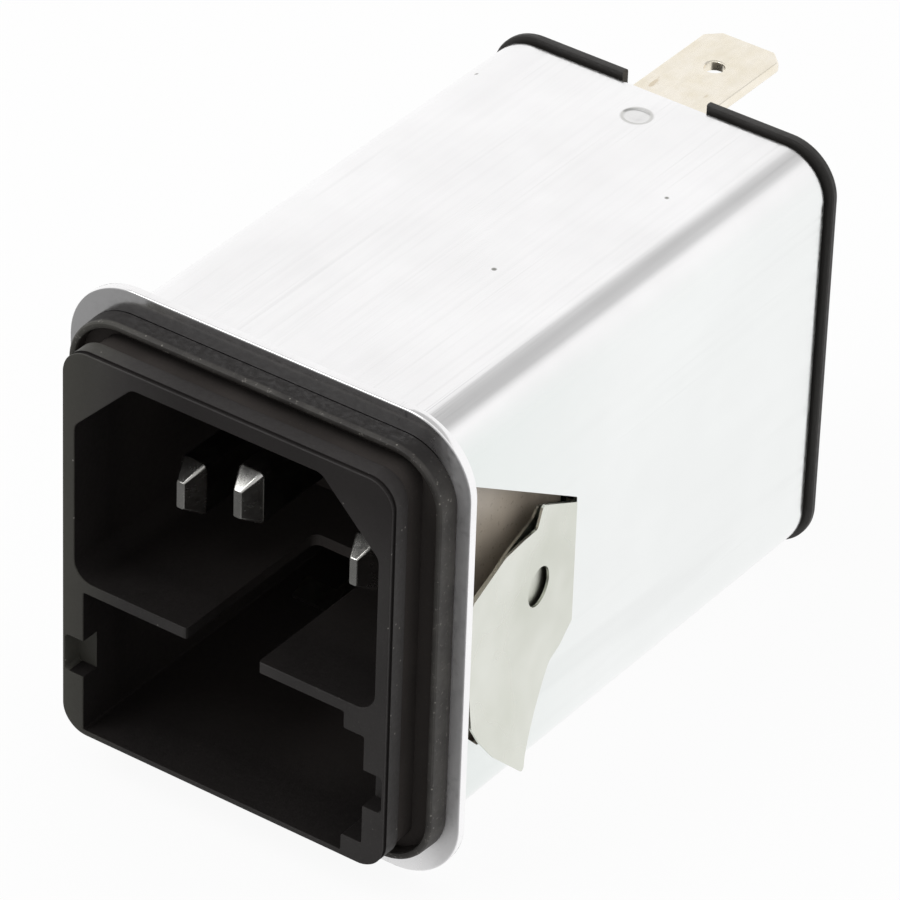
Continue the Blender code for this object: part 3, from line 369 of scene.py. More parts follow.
def housing_body():
    """The moulding before it is cut: face and skirt, neck, bezel with its lip, and body."""
    neck = rounded_rectangle(FACE_WIDTH - 2 * NECK_INSET, FACE_HEIGHT - NECK_INSET,
                             FACE_RADIUS - NECK_INSET, (0, FACE_CENTRE - NECK_INSET / 2))
    body = rounded_rectangle(BODY_WIDTH, BODY_HEIGHT, BODY_RADIUS, (0, CAN_CENTRE))
    skirt = [(0, 0.12), (0.035, 0.035), (0.1, 0), (LINE_FRONT, LINE_DEPTH),
             (LINE_REAR, LINE_DEPTH), (LINE_REAR + 0.04, 0), (SKIRT_END - 0.16, 0),
             (SKIRT_END - 0.05, 0.04), (SKIRT_END, 0.14)]
    lip = [(1, GROOVE_FLOOR), (1, LIP_FRONT + 0.2), (0.9, LIP_FRONT + 0.06),
           (0.72, LIP_FRONT + 0.01), (0.5, LIP_FRONT), (0.28, LIP_FRONT + 0.02),
           (0.08, LIP_FRONT + 0.12), (0, LIP_FRONT + 0.3), (-0.1, LIP_REAR)]
    return loft("housing_moulding", [
        *((face_ring(inset), y) for y, inset in skirt),
        (neck, SKIRT_END + NECK_STEP),
        (neck, GROOVE_FLOOR),
        *((lip_ring(share), y) for share, y in lip),
        (body, LIP_REAR),
        (body, BODY_END),
    ])


def housing(looks):
    """The front moulding, cut out, with its plain finish, painted shade in its cavities and fine
    line, a painted reflection on its body inside the can, and a paler, duller groove.
    """
    piece = housing_body()
    cutters = [
        block("upper_rear", (-BODY_WIDTH, SOCKET_END, PARTITION_TOP + 2 * FIT),
              (BODY_WIDTH, BODY_END + THROUGH, BODY_HEIGHT)),
        mouth_cutter("inlet", inlet_outline(), INLET_DEPTH),
        mouth_cutter("bay", bay_outline(), BAY_DEPTH),
        gap_cutter(),
        ear_pocket(-1),
        ear_pocket(1),
    ]
    reach = BAY_SIDE + RECESS_REACH
    recess = soften([(-reach, RECESS_BOTTOM, RECESS_EDGE), (-reach, RECESS_TOP, RECESS_EDGE),
                     (reach, RECESS_TOP, RECESS_EDGE), (reach, RECESS_BOTTOM, RECESS_EDGE)])
    cutters.append(mouth_cutter("recess", recess, RECESS_DEPTH))
    for name, (x, z, tip) in PIN_PLACES.items():
        half, tall = PIN_THICKNESS / 2 + FIT, PIN_HEIGHT / 2 + FIT
        cutters.append(block(f"{name}_slot", (x - half, INLET_DEPTH - THROUGH, z - tall),
                             (x + half, SOCKET_END + THROUGH, z + tall)))
    for side in (-1, 1):
        for level in CLIP_LEVELS:
            x = side * CLIP_PLACE
            cutters.append(block(f"clip_slot_{side}_{level}",
                                 (x - CLIP_HALF, BAY_DEPTH - THROUGH, level - CLIP_SLOT_HALF),
                                 (x + CLIP_HALF, BODY_END + THROUGH, level + CLIP_SLOT_HALF)))
    carve(piece, cutters)
    place(piece, looks["black_plastic"], "module", ["front_housing"])
    for name in ("reflection_painted_plastic", "shade_painted_plastic", "groove_plastic"):
        piece.data.materials.append(looks[name])
    painted_reflection, shaded, dull = 1, 2, 3
    for face in piece.data.polygons:
        spot = face.center / MILLIMETRE - DATUM
        inside = (abs(spot.x) < INLET_SIDE + MARGIN and spot.y > MARGIN
                  and BAY_BOTTOM - MARGIN < spot.z < INLET_TOP + MARGIN)
        line = LINE_FRONT - 0.01 < spot.y < LINE_REAR + 0.05
        groove = (SKIRT_END + NECK_STEP < spot.y < GROOVE_FLOOR + MARGIN
                  and inside_lip(spot))
        # Painted reflection: the black body inside the can is painted pale brown
        if abs(spot.x) > INLET_SIDE + FIT and spot.y > FLANGE_REAR:
            face.material_index = painted_reflection
        # Painted shade: the inlet, the bay and the fine line behind the face get a darker black
        elif inside or line:
            face.material_index = shaded
        elif groove:
            face.material_index = dull


def pins(looks):
    """Flat pins with a faceted nose and a stepped tail, their shanks darker than their noses."""
    for name, (x, z, tip) in PIN_PLACES.items():
        def ring(thick, tall, radius):
            return rounded_rectangle(thick, tall, radius, (x, z), 6)

        shank = ring(PIN_THICKNESS, PIN_HEIGHT, PIN_EDGE)
        tail = ring(PIN_TAIL_THICKNESS, PIN_TAIL_HEIGHT, 0.15)
        piece = loft(f"{name}_plated", [
            (ring(PIN_TIP_THICKNESS - 0.1, PIN_TIP_HEIGHT - 0.1, 0.1), tip),
            (ring(PIN_TIP_THICKNESS, PIN_TIP_HEIGHT, 0.12), tip + 0.05),
            (ring(PIN_THICKNESS - 0.06, PIN_HEIGHT - 0.06, 0.3), tip + PIN_NOSE - 0.05),
            (shank, tip + PIN_NOSE + 0.08),
            (shank, SOCKET_END),
            (tail, SOCKET_END),
            (tail, SOCKET_END + PIN_TAIL),
        ])
        place(piece, looks["nickel_plate"], "module", [name], 18)
        piece.data.materials.append(looks["nickel_in_shade"])
        for face in piece.data.polygons:
            if (face.center / MILLIMETRE - DATUM).y > tip + PIN_NOSE + MARGIN:
                face.material_index = 1


def can(looks):
    """Flange and tube drawn from one sheet, with a window in each side and a weld mark on top."""
    middle = (0, CAN_CENTRE)

    def ring(size, by=0.0):
        width, height, radius = size
        return rounded_rectangle(width + 2 * by, height + 2 * by, radius + by, middle)

    outer = (CAN_WIDTH, CAN_HEIGHT, CAN_RADIUS)
    inner = tuple(size - CAN_WALL * (1 if size == CAN_RADIUS else 2) for size in outer)
    flange = (FLANGE_WIDTH, FLANGE_HEIGHT, FLANGE_RADIUS)
    sections = [(ring(outer, -0.12), CAN_END), (ring(outer, -0.03), CAN_END - 0.03),
                (ring(outer), CAN_END - 0.12)]
    for step in range(5):
        angle = math.radians(90 * step / 4)
        sections.append((ring(outer, CAN_ROOT * (1 - math.cos(angle))),
                         FLANGE_REAR + CAN_ROOT * (1 - math.sin(angle))))
    sections += [
        (ring(flange, -0.1), FLANGE_REAR), (ring(flange, -0.03), FLANGE_REAR - 0.03),
        (ring(flange), FLANGE_REAR - 0.1), (ring(flange), FLANGE_FRONT + 0.14),
        (ring(flange, -0.02), FLANGE_FRONT + 0.06), (ring(flange, -0.06), FLANGE_FRONT + 0.02),
        (ring(flange, -0.14), FLANGE_FRONT),
    ]
    for step in range(5):
        angle = math.radians(90 * step / 4)
        sections.append((ring(inner, CAN_BEND * (1 - math.sin(angle))),
                         FLANGE_FRONT + CAN_BEND * (1 - math.cos(angle))))
    sections += [(ring(inner), CAN_END - 0.12), (ring(inner, 0.03), CAN_END - 0.03),
                 (ring(inner, 0.12), CAN_END)]
    piece = loft("can_drawn", sections, closed=True)
    top = CAN_CENTRE + CAN_HEIGHT / 2
    carve(piece, [
        prism("window", soften(WINDOW_OUTLINE), -CAN_WIDTH, CAN_WIDTH, "X"),
        loft("weld", [(circle(radius, (WELD_X, WELD_Y), 40, WELD_SQUASH), top + level)
                      for radius, level in WELD_DISH], "Z"),
    ])
    place(piece, looks["tinned_steel"], "module", ["shield_can"])


def cover(looks):
    """Rear cover with a rounded rim, an open notch over the earth tab and a slot for each live
    blade. Its rim stands out less at the left and the bottom."""
    middle = (0, CAN_CENTRE)

    def ring(grow, radius):
        return rounded_rectangle(CAN_WIDTH + 2 * grow, CAN_HEIGHT + 2 * grow, radius, middle)

    def lip(grow, radius):
        short = COVER_SHORT
        return rounded_rectangle(
            CAN_WIDTH + 2 * grow - short, CAN_HEIGHT + 2 * grow - short, radius - short / 2,
            (short / 2, CAN_CENTRE + short / 2))

    plug = -CAN_WALL - FIT
    hollow = plug - SPIGOT_WALL
    rim = CAN_RADIUS + COVER_OVERHANG
    sections = [
        (ring(hollow, CAN_RADIUS + hollow), COVER_FRONT),
        (ring(hollow, CAN_RADIUS + hollow), COVER_FRONT - SPIGOT_LENGTH),
        (ring(plug - 0.2, CAN_RADIUS + plug - 0.2), COVER_FRONT - SPIGOT_LENGTH),
        (ring(plug, CAN_RADIUS + plug), COVER_FRONT - SPIGOT_LENGTH + 0.2),
        (ring(plug, CAN_RADIUS + plug), COVER_FRONT),
        (lip(COVER_OVERHANG - 0.08, rim - 0.08), COVER_FRONT),
        (lip(COVER_OVERHANG, rim), COVER_FRONT + 0.08),
    ]
    rounding = 0.3
    for step in range(6):
        angle = math.radians(90 * step / 5)
        by = COVER_OVERHANG - rounding * (1 - math.cos(angle))
        sections.append((lip(by, rim - rounding * (1 - math.cos(angle))),
                         COVER_REAR - rounding * (1 - math.sin(angle))))
    piece = loft("cover_moulding", sections)
    low = BLADE_TOP - BLADE_THICKNESS - FIT
    half = BLADE_HALF + FIT
    notch = soften([
        (EARTH_BLADE[0] - half, low, 0.3), (EARTH_BLADE[0] + half, low, 0.3),
        (EARTH_BLADE[0] + half, BODY_WIDTH, 0), (EARTH_BLADE[0] - half, BODY_WIDTH, 0),
    ])
    front, rear = COVER_FRONT - SPIGOT_LENGTH - THROUGH, COVER_REAR + THROUGH
    cutters = [prism("notch", notch, front, rear)]
    for side in (-1, 1):
        slot = rounded_rectangle(BLADE_THICKNESS + 2 * FIT, 2 * half, FIT,
                                 (side * LIVE_BLADE_PLACE, LIVE_BLADE[0]), 6)
        cutters.append(prism(f"slot_{side}", slot, front, rear))
    carve(piece, cutters)
    place(piece, looks["cover_plastic"], "module", ["rear_cover"])


def blade(name, middle, start, end, level, upright, looks):
    """A stamped blade: rolled edges, chamfered end, locating hole with a broken rim. Its level is
    the middle of its thickness."""
    outline = soften([
        (middle - BLADE_HALF, start, 0.1), (middle + BLADE_HALF, start, 0.1),
        (middle + BLADE_HALF, end - BLADE_CHAMFER, 0.35),
        (middle + BLADE_HALF - BLADE_CHAMFER, end, 0.3),
        (middle - BLADE_HALF + BLADE_CHAMFER, end, 0.3),
        (middle - BLADE_HALF, end - BLADE_CHAMFER, 0.35),
    ], 6)
    hole = circle(BLADE_HOLE, (middle, end - BLADE_SETBACK))
    half = BLADE_THICKNESS / 2
    rolls = [(-half, 0.17), (-half + 0.04, 0.08), (-half + 0.11, 0.02), (-half + 0.19, 0)]
    rolls += [(-along, inset) for along, inset in reversed(rolls)]
    rim = [(-half - 0.1, 0.1), (-half, 0.1), (-half + 0.08, 0), (half - 0.08, 0), (half, 0.1),
           (half + 0.1, 0.1)]
    axis = "Z"
    if upright:
        outline = [Vector((point[1], point[0])) for point in outline]
        hole = [Vector((point[1], point[0])) for point in hole]
        axis = "X"
    piece = loft(f"{name}_stamped",
                 [(grown(outline, -inset), level + along) for along, inset in rolls], axis)
    carve(piece, [loft("hole", [(grown(hole, by), level + along) for along, by in rim], axis)])
    place(piece, looks["tinned_brass"], "module", [name], 40)


def ear_face(depth, height):
    """Distance of an ear's outer face from the middle plane: tongue, jog, then flared leaf, which
    curls outward at its low front corner."""
    leaf = LEAF_FACE + max(0, WINDOW_REAR - depth) * EAR_TILT
    beyond = (math.sin(EAR_CURL) * (WINDOW_REAR - depth)
              + math.cos(EAR_CURL) * (EAR_CURL_HEIGHT - height))
    leaf += max(0, beyond) ** 2 / EAR_CURL_SPREAD
    return TONGUE_FACE + (leaf - TONGUE_FACE) * smooth(depth, EAR_JOG_REAR, EAR_JOG_REAR - EAR_JOG)


def smooth(value, start, end):
    """Eased share of the way from start to end."""
    share = min(1, max(0, (value - start) / (end - start)))
    return share * share * (3 - 2 * share)


def sheet_room(depth, height):
    """How far the sheet behind stands off: most along the middle of the leaf, less low down."""
    room = EAR_SHEET_ROOM * smooth(depth, 8, 12.5) * smooth(depth, 19, 17)
    return EAR_SHEET_GAP + room * (0.75 + 0.25 * smooth(height, -4.5, -1.5))


def sheet_leaf(mesh, side, outline, hole, behind):
    """Adds one thin bent leaf to the mesh: the outer one, or the one behind it."""
    flat = bmesh.new()
    edges = []
    for loop in [outline] + ([hole] if hole else []):
        verts = [flat.verts.new((0, point[0], point[1])) for point in loop]
        edges += [flat.edges.new((verts[index - 1], verts[index])) for index in range(len(verts))]
    bmesh.ops.triangle_fill(flat, use_beauty=True, use_dissolve=False, edges=edges)
    lines = [("y", EAR_JOG_REAR - EAR_JOG * step / 8) for step in range(9)]
    lines += [("y", EAR_JOG_REAR - EAR_JOG - EAR_GRID * step) for step in range(1, 32)]
    lines += [("z", EAR_GRID_TOP - EAR_GRID * step) for step in range(44)]
    for way, value in lines:
        normal = (0, 1, 0) if way == "y" else (0, 0, 1)
        spot = tuple(value * part for part in normal)
        bmesh.ops.bisect_plane(flat, geom=flat.verts[:] + flat.edges[:] + flat.faces[:],
                               plane_co=spot, plane_no=normal)
    bmesh.ops.triangulate(flat, faces=[face for face in flat.faces if len(face.verts) > 4])
    outer, inner = {}, {}
    for vert in flat.verts:
        y, z = vert.co.y, vert.co.z
        x = ear_face(y, z)
        if behind:
            x -= EAR_SHEET + sheet_room(y, z)
        outer[vert] = mesh.verts.new((side * x, y, z))
        inner[vert] = mesh.verts.new((side * (x - EAR_SHEET), y, z))
    for face in flat.faces:
        mesh.faces.new([outer[vert] for vert in face.verts])
        mesh.faces.new([inner[vert] for vert in reversed(face.verts)])
    for edge in flat.edges:
        if edge.is_boundary:
            first, second = edge.verts
            mesh.faces.new((outer[first], outer[second], inner[second], inner[first]))
    flat.free()


def ears(looks):
    """The two snap ears, each an outer leaf with a hole and a plain leaf behind it."""
    outline, inner = soften(EAR_OUTLINE, 8), soften(INNER_OUTLINE, 8)
    y, z, radius = EAR_HOLE
    hole = circle(radius, (y, z), 56)
    for side, hand in ((1, "right"), (-1, "left")):
        mesh = bmesh.new()
        sheet_leaf(mesh, side, outline, hole, False)
        sheet_leaf(mesh, side, inner, None, True)
        piece = to_object(f"ear_{hand}_sheets", mesh)
        place(piece, looks["spring_steel"], f"ear_{hand}",
              [f"snap_ear_{hand}"], 45)


def principled(name):
    """A new material, its node tree and its shader."""
    look = bpy.data.materials.new(name)
    look.use_nodes = True
    return look, look.node_tree, look.node_tree.nodes["Principled BSDF"]


def add(tree, kind, **settings):
    """A new node with its properties or the values of its sockets set."""
    node = tree.nodes.new(kind)
    for key, value in settings.items():
        if hasattr(node, key):
            setattr(node, key, value)
        else:
            node.inputs[key.replace("_", " ")].default_value = value
    return node


def noise(tree, scale, stretch=(1, 1, 1), detail=4.0, roughness=0.6, turn=0.0):
    """Noise in the object's own space, finer along the axes with a larger stretch."""
    where = add(tree, "ShaderNodeTexCoord")
    mapping = add(tree, "ShaderNodeMapping")
    mapping.inputs["Scale"].default_value = stretch
    mapping.inputs["Rotation"].default_value = (0, turn, turn)
    made = add(tree, "ShaderNodeTexNoise", Scale=scale, Detail=detail, Roughness=roughness)
    tree.links.new(where.outputs["Object"], mapping.inputs["Vector"])
    tree.links.new(mapping.outputs["Vector"], made.inputs["Vector"])
    return made.outputs["Fac"]


def spread(tree, source, low, high, start=0.3, end=0.7):
    """A factor carried to the range low to high."""
    node = add(tree, "ShaderNodeMapRange")
    for key, value in (("From Min", start), ("From Max", end), ("To Min", low), ("To Max", high)):
        node.inputs[key].default_value = value
    tree.links.new(source, node.inputs["Value"])
    return node.outputs["Result"]


def mixed(tree, factor, first, second):
    """Colour mix: first where the factor is 0, second where it is 1. Both may be links."""
    node = add(tree, "ShaderNodeMix", data_type="RGBA")
    tree.links.new(factor, node.inputs["Factor"])
    for socket, value in (("A", first), ("B", second)):
        target = next(port for port in node.inputs if port.name == socket and port.type == "RGBA")
        if isinstance(value, tuple):
            target.default_value = (*value, 1)
        else:
            tree.links.new(value, target)
    return next(port for port in node.outputs if port.type == "RGBA")


def sums(tree, first, second, operation="ADD"):
    """Sum, or another operation, of two numbers or links."""
    node = add(tree, "ShaderNodeMath", operation=operation)
    for socket, value in zip(node.inputs, (first, second)):
        if isinstance(value, (int, float)):
            socket.default_value = value
        else:
            tree.links.new(value, socket)
    return node.outputs["Value"]


def bump(tree, shader, source, strength, distance):
    """Relief on a shader, from a height."""
    node = add(tree, "ShaderNodeBump")
    node.inputs["Strength"].default_value = strength
    node.inputs["Distance"].default_value = distance
    tree.links.new(source, node.inputs["Height"])
    tree.links.new(node.outputs["Normal"], shader.inputs["Normal"])


def dots(tree, scale, size, share):
    """Factor of 1 in small round dots, in a share of the cells of a random lattice."""
    where = add(tree, "ShaderNodeTexCoord")
    cells = add(tree, "ShaderNodeTexVoronoi", Scale=scale)
    tree.links.new(where.outputs["Object"], cells.inputs["Vector"])
    split = add(tree, "ShaderNodeSeparateColor")
    tree.links.new(cells.outputs["Color"], split.inputs["Color"])
    dot = spread(tree, cells.outputs["Distance"], 1, 0, size * 0.6, size)
    chosen = sums(tree, split.outputs["Red"], share, "LESS_THAN")
    return sums(tree, dot, chosen, "MULTIPLY")


def axes(tree, space="Object"):
    """The place along X, Y and Z, on the object in metres in the frame, or in another space."""
    where = add(tree, "ShaderNodeTexCoord")
    split = add(tree, "ShaderNodeSeparateXYZ")
    tree.links.new(where.outputs[space], split.inputs["Vector"])
    return split.outputs


def ramp(tree, axis, start, end, low=0, high=1):
    """Factor from low to high between two places (mm from the datum) along an axis."""
    shift = DATUM["XYZ".index(axis)]
    return spread(tree, axes(tree)[axis], low, high,
                  (start + shift) * MILLIMETRE, (end + shift) * MILLIMETRE)


def near(tree, centre, start, end):
    """Factor falling from 1 to 0 between two distances (mm) from a place."""
    where = add(tree, "ShaderNodeTexCoord")
    gap = add(tree, "ShaderNodeVectorMath", operation="DISTANCE")
    tree.links.new(where.outputs["Object"], gap.inputs[0])
    gap.inputs[1].default_value = (Vector(centre) + DATUM) * MILLIMETRE
    return spread(tree, gap.outputs["Value"], 1, 0, start * MILLIMETRE, end * MILLIMETRE)


def band(tree, axis, low, high, edge):
    """Factor of 1 between two places (mm from the datum) along an axis, fading over an edge."""
    rise = ramp(tree, axis, low - edge, low)
    fall = ramp(tree, axis, high, high + edge, 1, 0)
    return sums(tree, rise, fall, "MULTIPLY")


def sheet_metal(name, dark, light, roughness, grain, depth, marks):
    """Bright plated sheet: brush lines along Y, mottled tone, scratches and small dark dots. The
    lines are in its roughness and relief too where it has depth."""
    look, tree, shader = principled(name)
    shader.inputs["Metallic"].default_value = 1
    mottle = spread(tree, noise(tree, 90, detail=3), 0, 1, 0.35, 0.65)
    lines = noise(tree, grain, (1, 0.012, 1), detail=6)
    colour = mixed(tree, mottle, dark, light)
    streaks = spread(tree, lines, marks, 0, 0.28, 0.42)
    dull = tuple(c * 0.72 for c in dark)
    colour = mixed(tree, streaks, colour, dull)
    colour = mixed(tree, dots(tree, 260, 0.06, 0.12), colour, DARK_DOT)
    scratch = spread(tree, noise(tree, 300, (1, 0.04, 0.3), 2, 0.5, 0.45), 0, marks, 0.70, 0.73)
    colour = mixed(tree, scratch, colour, dull)
    tree.links.new(colour, shader.inputs["Base Color"])
    uneven = lines if depth else noise(tree, 120, detail=2)
    tree.links.new(spread(tree, uneven, roughness - 0.05, roughness + 0.07),
                   shader.inputs["Roughness"])
    if depth:
        bump(tree, shader, lines, 0.4, depth)
    return look, tree, shader, colour


def can_metal():
    """The can's sheet: painted cooler and darker on its sides as painted shade, most towards the
    front, with a painted dark reflection streaked along the upper right corner, ringed round the
    weld by its tint and the painted shade of its rim, and duller on the right of the flange's
    front."""
    look, tree, shader, colour = sheet_metal(
        "tinned_steel", (0.935, 0.928, 0.932), (0.99, 0.984, 0.988), 0.16, 2200, 0.000008, 0.22)
    # Painted shade: the flat sides are painted cooler and darker than the top, most towards the
    # front
    across = sums(tree, axes(tree)["X"], 0, "ABSOLUTE")
    side = spread(tree, across, 0, 0.55, 12.6 * MILLIMETRE, 13.6 * MILLIMETRE)
    flat = sums(tree, side, ramp(tree, "Y", FLANGE_REAR + 0.05, FLANGE_REAR + 0.4), "MULTIPLY")
    colour = mixed(tree, flat, colour, SIDE_SHADE)
    fore = ramp(tree, "Y", 6, 24, 1, 0)
    colour = mixed(tree, sums(tree, flat, fore, "MULTIPLY"), colour, SIDE_SHADE_FORE)
    # Painted reflection: dark streaks along the upper right corner
    streaks = spread(tree, noise(tree, 2600, (1, 0.008, 1), 2, 0.5), 0.6, 0, 0.34, 0.44)
    corner = band(tree, "X", 10.35, 11.0, 0.35)
    colour = mixed(tree, sums(tree, streaks, corner, "MULTIPLY"), colour, CORNER_DARK_REFLECTION)
    # Weld tint, with painted shade standing in for its raised rim: a grey ring and a fainter
    # middle
    spot = (WELD_X, WELD_Y, CAN_CENTRE + CAN_HEIGHT / 2)
    ring = sums(tree, near(tree, spot, 1.08, 1.22), near(tree, spot, 0.82, 1.02), "SUBTRACT")
    ring = sums(tree, sums(tree, ring, 0.5, "MULTIPLY"),
                sums(tree, near(tree, spot, 0.9, 1.1), 0.22, "MULTIPLY"))
    tree.links.new(mixed(tree, ring, colour, WELD_TINT_AND_SHADE), shader.inputs["Base Color"])
    dull = sums(tree, band(tree, "Y", FLANGE_FRONT - 0.1, FLANGE_FRONT + 0.05, 0.05),
                ramp(tree, "X", 12.5, 14.8, 0, 0.4), "MULTIPLY")
    plain = shader.inputs["Roughness"].links[0].from_socket
    tree.links.new(sums(tree, plain, dull), shader.inputs["Roughness"])
    return look


def dust_and_shading(tree, base, speck, dust_and_shade):
    """The front moulding's dust and painted light: a painted sheen on the left side, painted shade
    on the upper right and the upper flank, specks all over, and a film, fluff and lint on the
    bezel's lip."""
    # Painted sheen: the left side is painted paler, standing in for light falling there
    base = mixed(tree, ramp(tree, "X", -13, -8, 0.6, 0), base, LEFT_SHEEN)
    # Painted shade: the upper right is painted darker
    upper = sums(tree, ramp(tree, "Z", 2, 8, 0, 0.75), ramp(tree, "X", -10, -3), "MULTIPLY")
    base = mixed(tree, upper, base, UPPER_SHADE)
    base = mixed(tree, dots(tree, 1300, 0.1, 0.2), base, tuple(c * 3 for c in speck))
    lip = band(tree, "Y", LIP_FRONT - 0.1, LIP_REAR, 0.1)
    film = spread(tree, noise(tree, 420, detail=5), 0.25, 1.0, 0.35, 0.65)
    film = sums(tree, sums(tree, film, lip, "MULTIPLY"), dust_and_shade, "MULTIPLY")
    base = mixed(tree, film, base, FILM)
    fluff = sums(tree, dots(tree, 1900, 0.16, 0.4), lip, "MULTIPLY")
    base = mixed(tree, fluff, base, FLUFF)
    lint = spread(tree, noise(tree, 3200, (1, 1, 1), 3, 0.7), 0, 1, 0.62, 0.7)
    base = mixed(tree, sums(tree, lint, lip, "MULTIPLY"), base, LINT)
    # Painted shade: the upper part of the lip's outer flank is painted near black
    flank = sums(tree, ramp(tree, "Z", 7.5, 10), band(tree, "Y", LIP_FRONT + 0.4, LIP_REAR, 0.15),
                 "MULTIPLY")
    return mixed(tree, flank, base, FLANK_SHADE)


def plastic(name, colour, speck, roughness, gloss=0.4, dust_and_shade=0.0, paler=None):
    """Moulded plastic with a fine matt grain and faint flow marks, and, where a dust amount is
    given, with dust and the painted sheen and shade of the front moulding. A paler colour, where
    given, shows with depth."""
    look, tree, shader = principled(name)
    flow = spread(tree, noise(tree, 160, (1, 1, 0.4), detail=3), 0, 1, 0.35, 0.7)
    base = mixed(tree, flow, tuple(c * 0.85 for c in colour), tuple(c * 1.2 for c in colour))
    fine = spread(tree, noise(tree, 5200, detail=2), 0, 0.8, 0.62, 0.78)
    base = mixed(tree, fine, base, speck)
    # Dust, together with the painted sheen and shade of the front moulding
    if dust_and_shade:
        base = dust_and_shading(tree, base, speck, dust_and_shade)
    if paler:
        base = mixed(tree, ramp(tree, "Y", 4, 17), base, paler)
    tree.links.new(base, shader.inputs["Base Color"])
    grain = noise(tree, 2600, detail=3)
    tree.links.new(spread(tree, grain, roughness - 0.05, roughness + 0.1),
                   shader.inputs["Roughness"])
    shader.inputs["Specular IOR Level"].default_value = gloss
    bump(tree, shader, grain, 0.3, 0.00003)
    return look


def plated(name, dark, light, roughness, flecks):
    """Small plated piece with a slightly uneven tone and, where asked, brownish flecks."""
    look, tree, shader = principled(name)
    shader.inputs["Metallic"].default_value = 1
    tone = spread(tree, noise(tree, 700), 0, 1, 0.35, 0.65)
    colour = mixed(tree, tone, dark, light)
    if flecks:
        fleck = spread(tree, noise(tree, 900, (1, 0.35, 1), 3, 0.6, 0.6), 0, flecks, 0.66, 0.72)
        colour = mixed(tree, fleck, colour, tuple(c * s for c, s in zip(dark, (0.7, 0.62, 0.5))))
    tree.links.new(colour, shader.inputs["Base Color"])
    fine = noise(tree, 2500, (1, 0.2, 1), detail=3)
    tree.links.new(spread(tree, fine, roughness - 0.04, roughness + 0.04),
                   shader.inputs["Roughness"])
    bump(tree, shader, fine, 0.12, 0.000006)
    return look


def painted(name, dark, light, roughness, scale=900):
    """Coated, moulded or laminated inner piece with a faint tone change."""
    look, tree, shader = principled(name)
    tone = noise(tree, scale, detail=3)
    tree.links.new(mixed(tree, spread(tree, tone, 0, 1), dark, light), shader.inputs["Base Color"])
    tree.links.new(spread(tree, tone, roughness - 0.05, roughness + 0.1),
                   shader.inputs["Roughness"])
    return look


def finishes():
    """Every finish, by the record's material slot."""
    return {
        "black_plastic": plastic(
            "black_plastic", (0.032, 0.029, 0.028), (0.062, 0.059, 0.054), 0.55, 0.4, 0.6),
        # Painted shade: a darker black for the inlet, the bay and the fine line, paler with depth
        "shade_painted_plastic": plastic(
            "shade_painted_plastic", (0.012, 0.01, 0.0095), (0.022, 0.018, 0.017), 0.6, 0.25,
            paler=(0.06, 0.052, 0.048)),
        "groove_plastic": plastic(
            "groove_plastic", (0.05, 0.044, 0.041), (0.07, 0.063, 0.058), 0.7, 0.06),
        # Painted reflection: black plastic painted pale brown where the body shows inside the can
        "reflection_painted_plastic": plastic(
            "reflection_painted_plastic", (0.46, 0.4, 0.33), (0.525, 0.46, 0.383), 0.3, 0.6),
        "tinned_steel": can_metal(),
        "cover_plastic": plastic(
            "cover_plastic", (0.03, 0.028, 0.026), (0.05, 0.048, 0.044), 0.5),
        "tinned_brass": plated("tinned_brass", (0.93, 0.86, 0.72), (0.99, 0.93, 0.82), 0.28, 0.6),
        "nickel_plate": plated("nickel_plate", (0.74, 0.73, 0.69), (0.84, 0.83, 0.8), 0.25, 0.0),
        "nickel_in_shade": plated(
            "nickel_in_shade", (0.1, 0.095, 0.09), (0.14, 0.135, 0.125), 0.4, 0.0),
        "tinned_copper": plated("tinned_copper", (0.75, 0.7, 0.6), (0.85, 0.8, 0.7), 0.35, 0.3),
        "spring_bronze": plated("spring_bronze", (0.35, 0.34, 0.31), (0.45, 0.44, 0.4), 0.35, 0.3),
        "spring_steel": sheet_metal(
            "spring_steel", (0.66, 0.675, 0.60), (0.79, 0.80, 0.74), 0.27, 700, 0, 0.03)[0],
        "green_laminate": painted(
            "green_laminate", (0.03, 0.14, 0.06), (0.06, 0.2, 0.09), 0.4),
        "ferrite": painted("ferrite", (0.03, 0.03, 0.033), (0.07, 0.07, 0.075), 0.55),
        "enamelled_wire": plated(
            "enamelled_wire", (0.5, 0.19, 0.06), (0.65, 0.28, 0.1), 0.25, 0.3),
        "yellow_case": painted("yellow_case", (0.62, 0.4, 0.04), (0.75, 0.5, 0.07), 0.4),
        "blue_coating": painted("blue_coating", (0.03, 0.12, 0.35), (0.06, 0.2, 0.5), 0.3),
        "resistor_body": painted("resistor_body", (0.5, 0.36, 0.22), (0.65, 0.47, 0.32), 0.45),
        "line_insulation": painted("line_insulation", (0.16, 0.06, 0.03), (0.25, 0.1, 0.05), 0.45),
        "neutral_insulation": painted(
            "neutral_insulation", (0.03, 0.08, 0.32), (0.06, 0.14, 0.45), 0.45),
    }


def dress_nodes(frame, looks):
    """Gives each node of the frame the finish of its slot."""
    slots = {row["node"]: row["material_slot"] for row in frame["record"]["subparts"]}
    for name, node in frame["nodes"].items():
        for index in range(max(1, len(node.material_slots))):
            if index < len(node.material_slots):
                node.material_slots[index].material = looks[slots[name]]
            else:
                node.data.materials.append(looks[slots[name]])


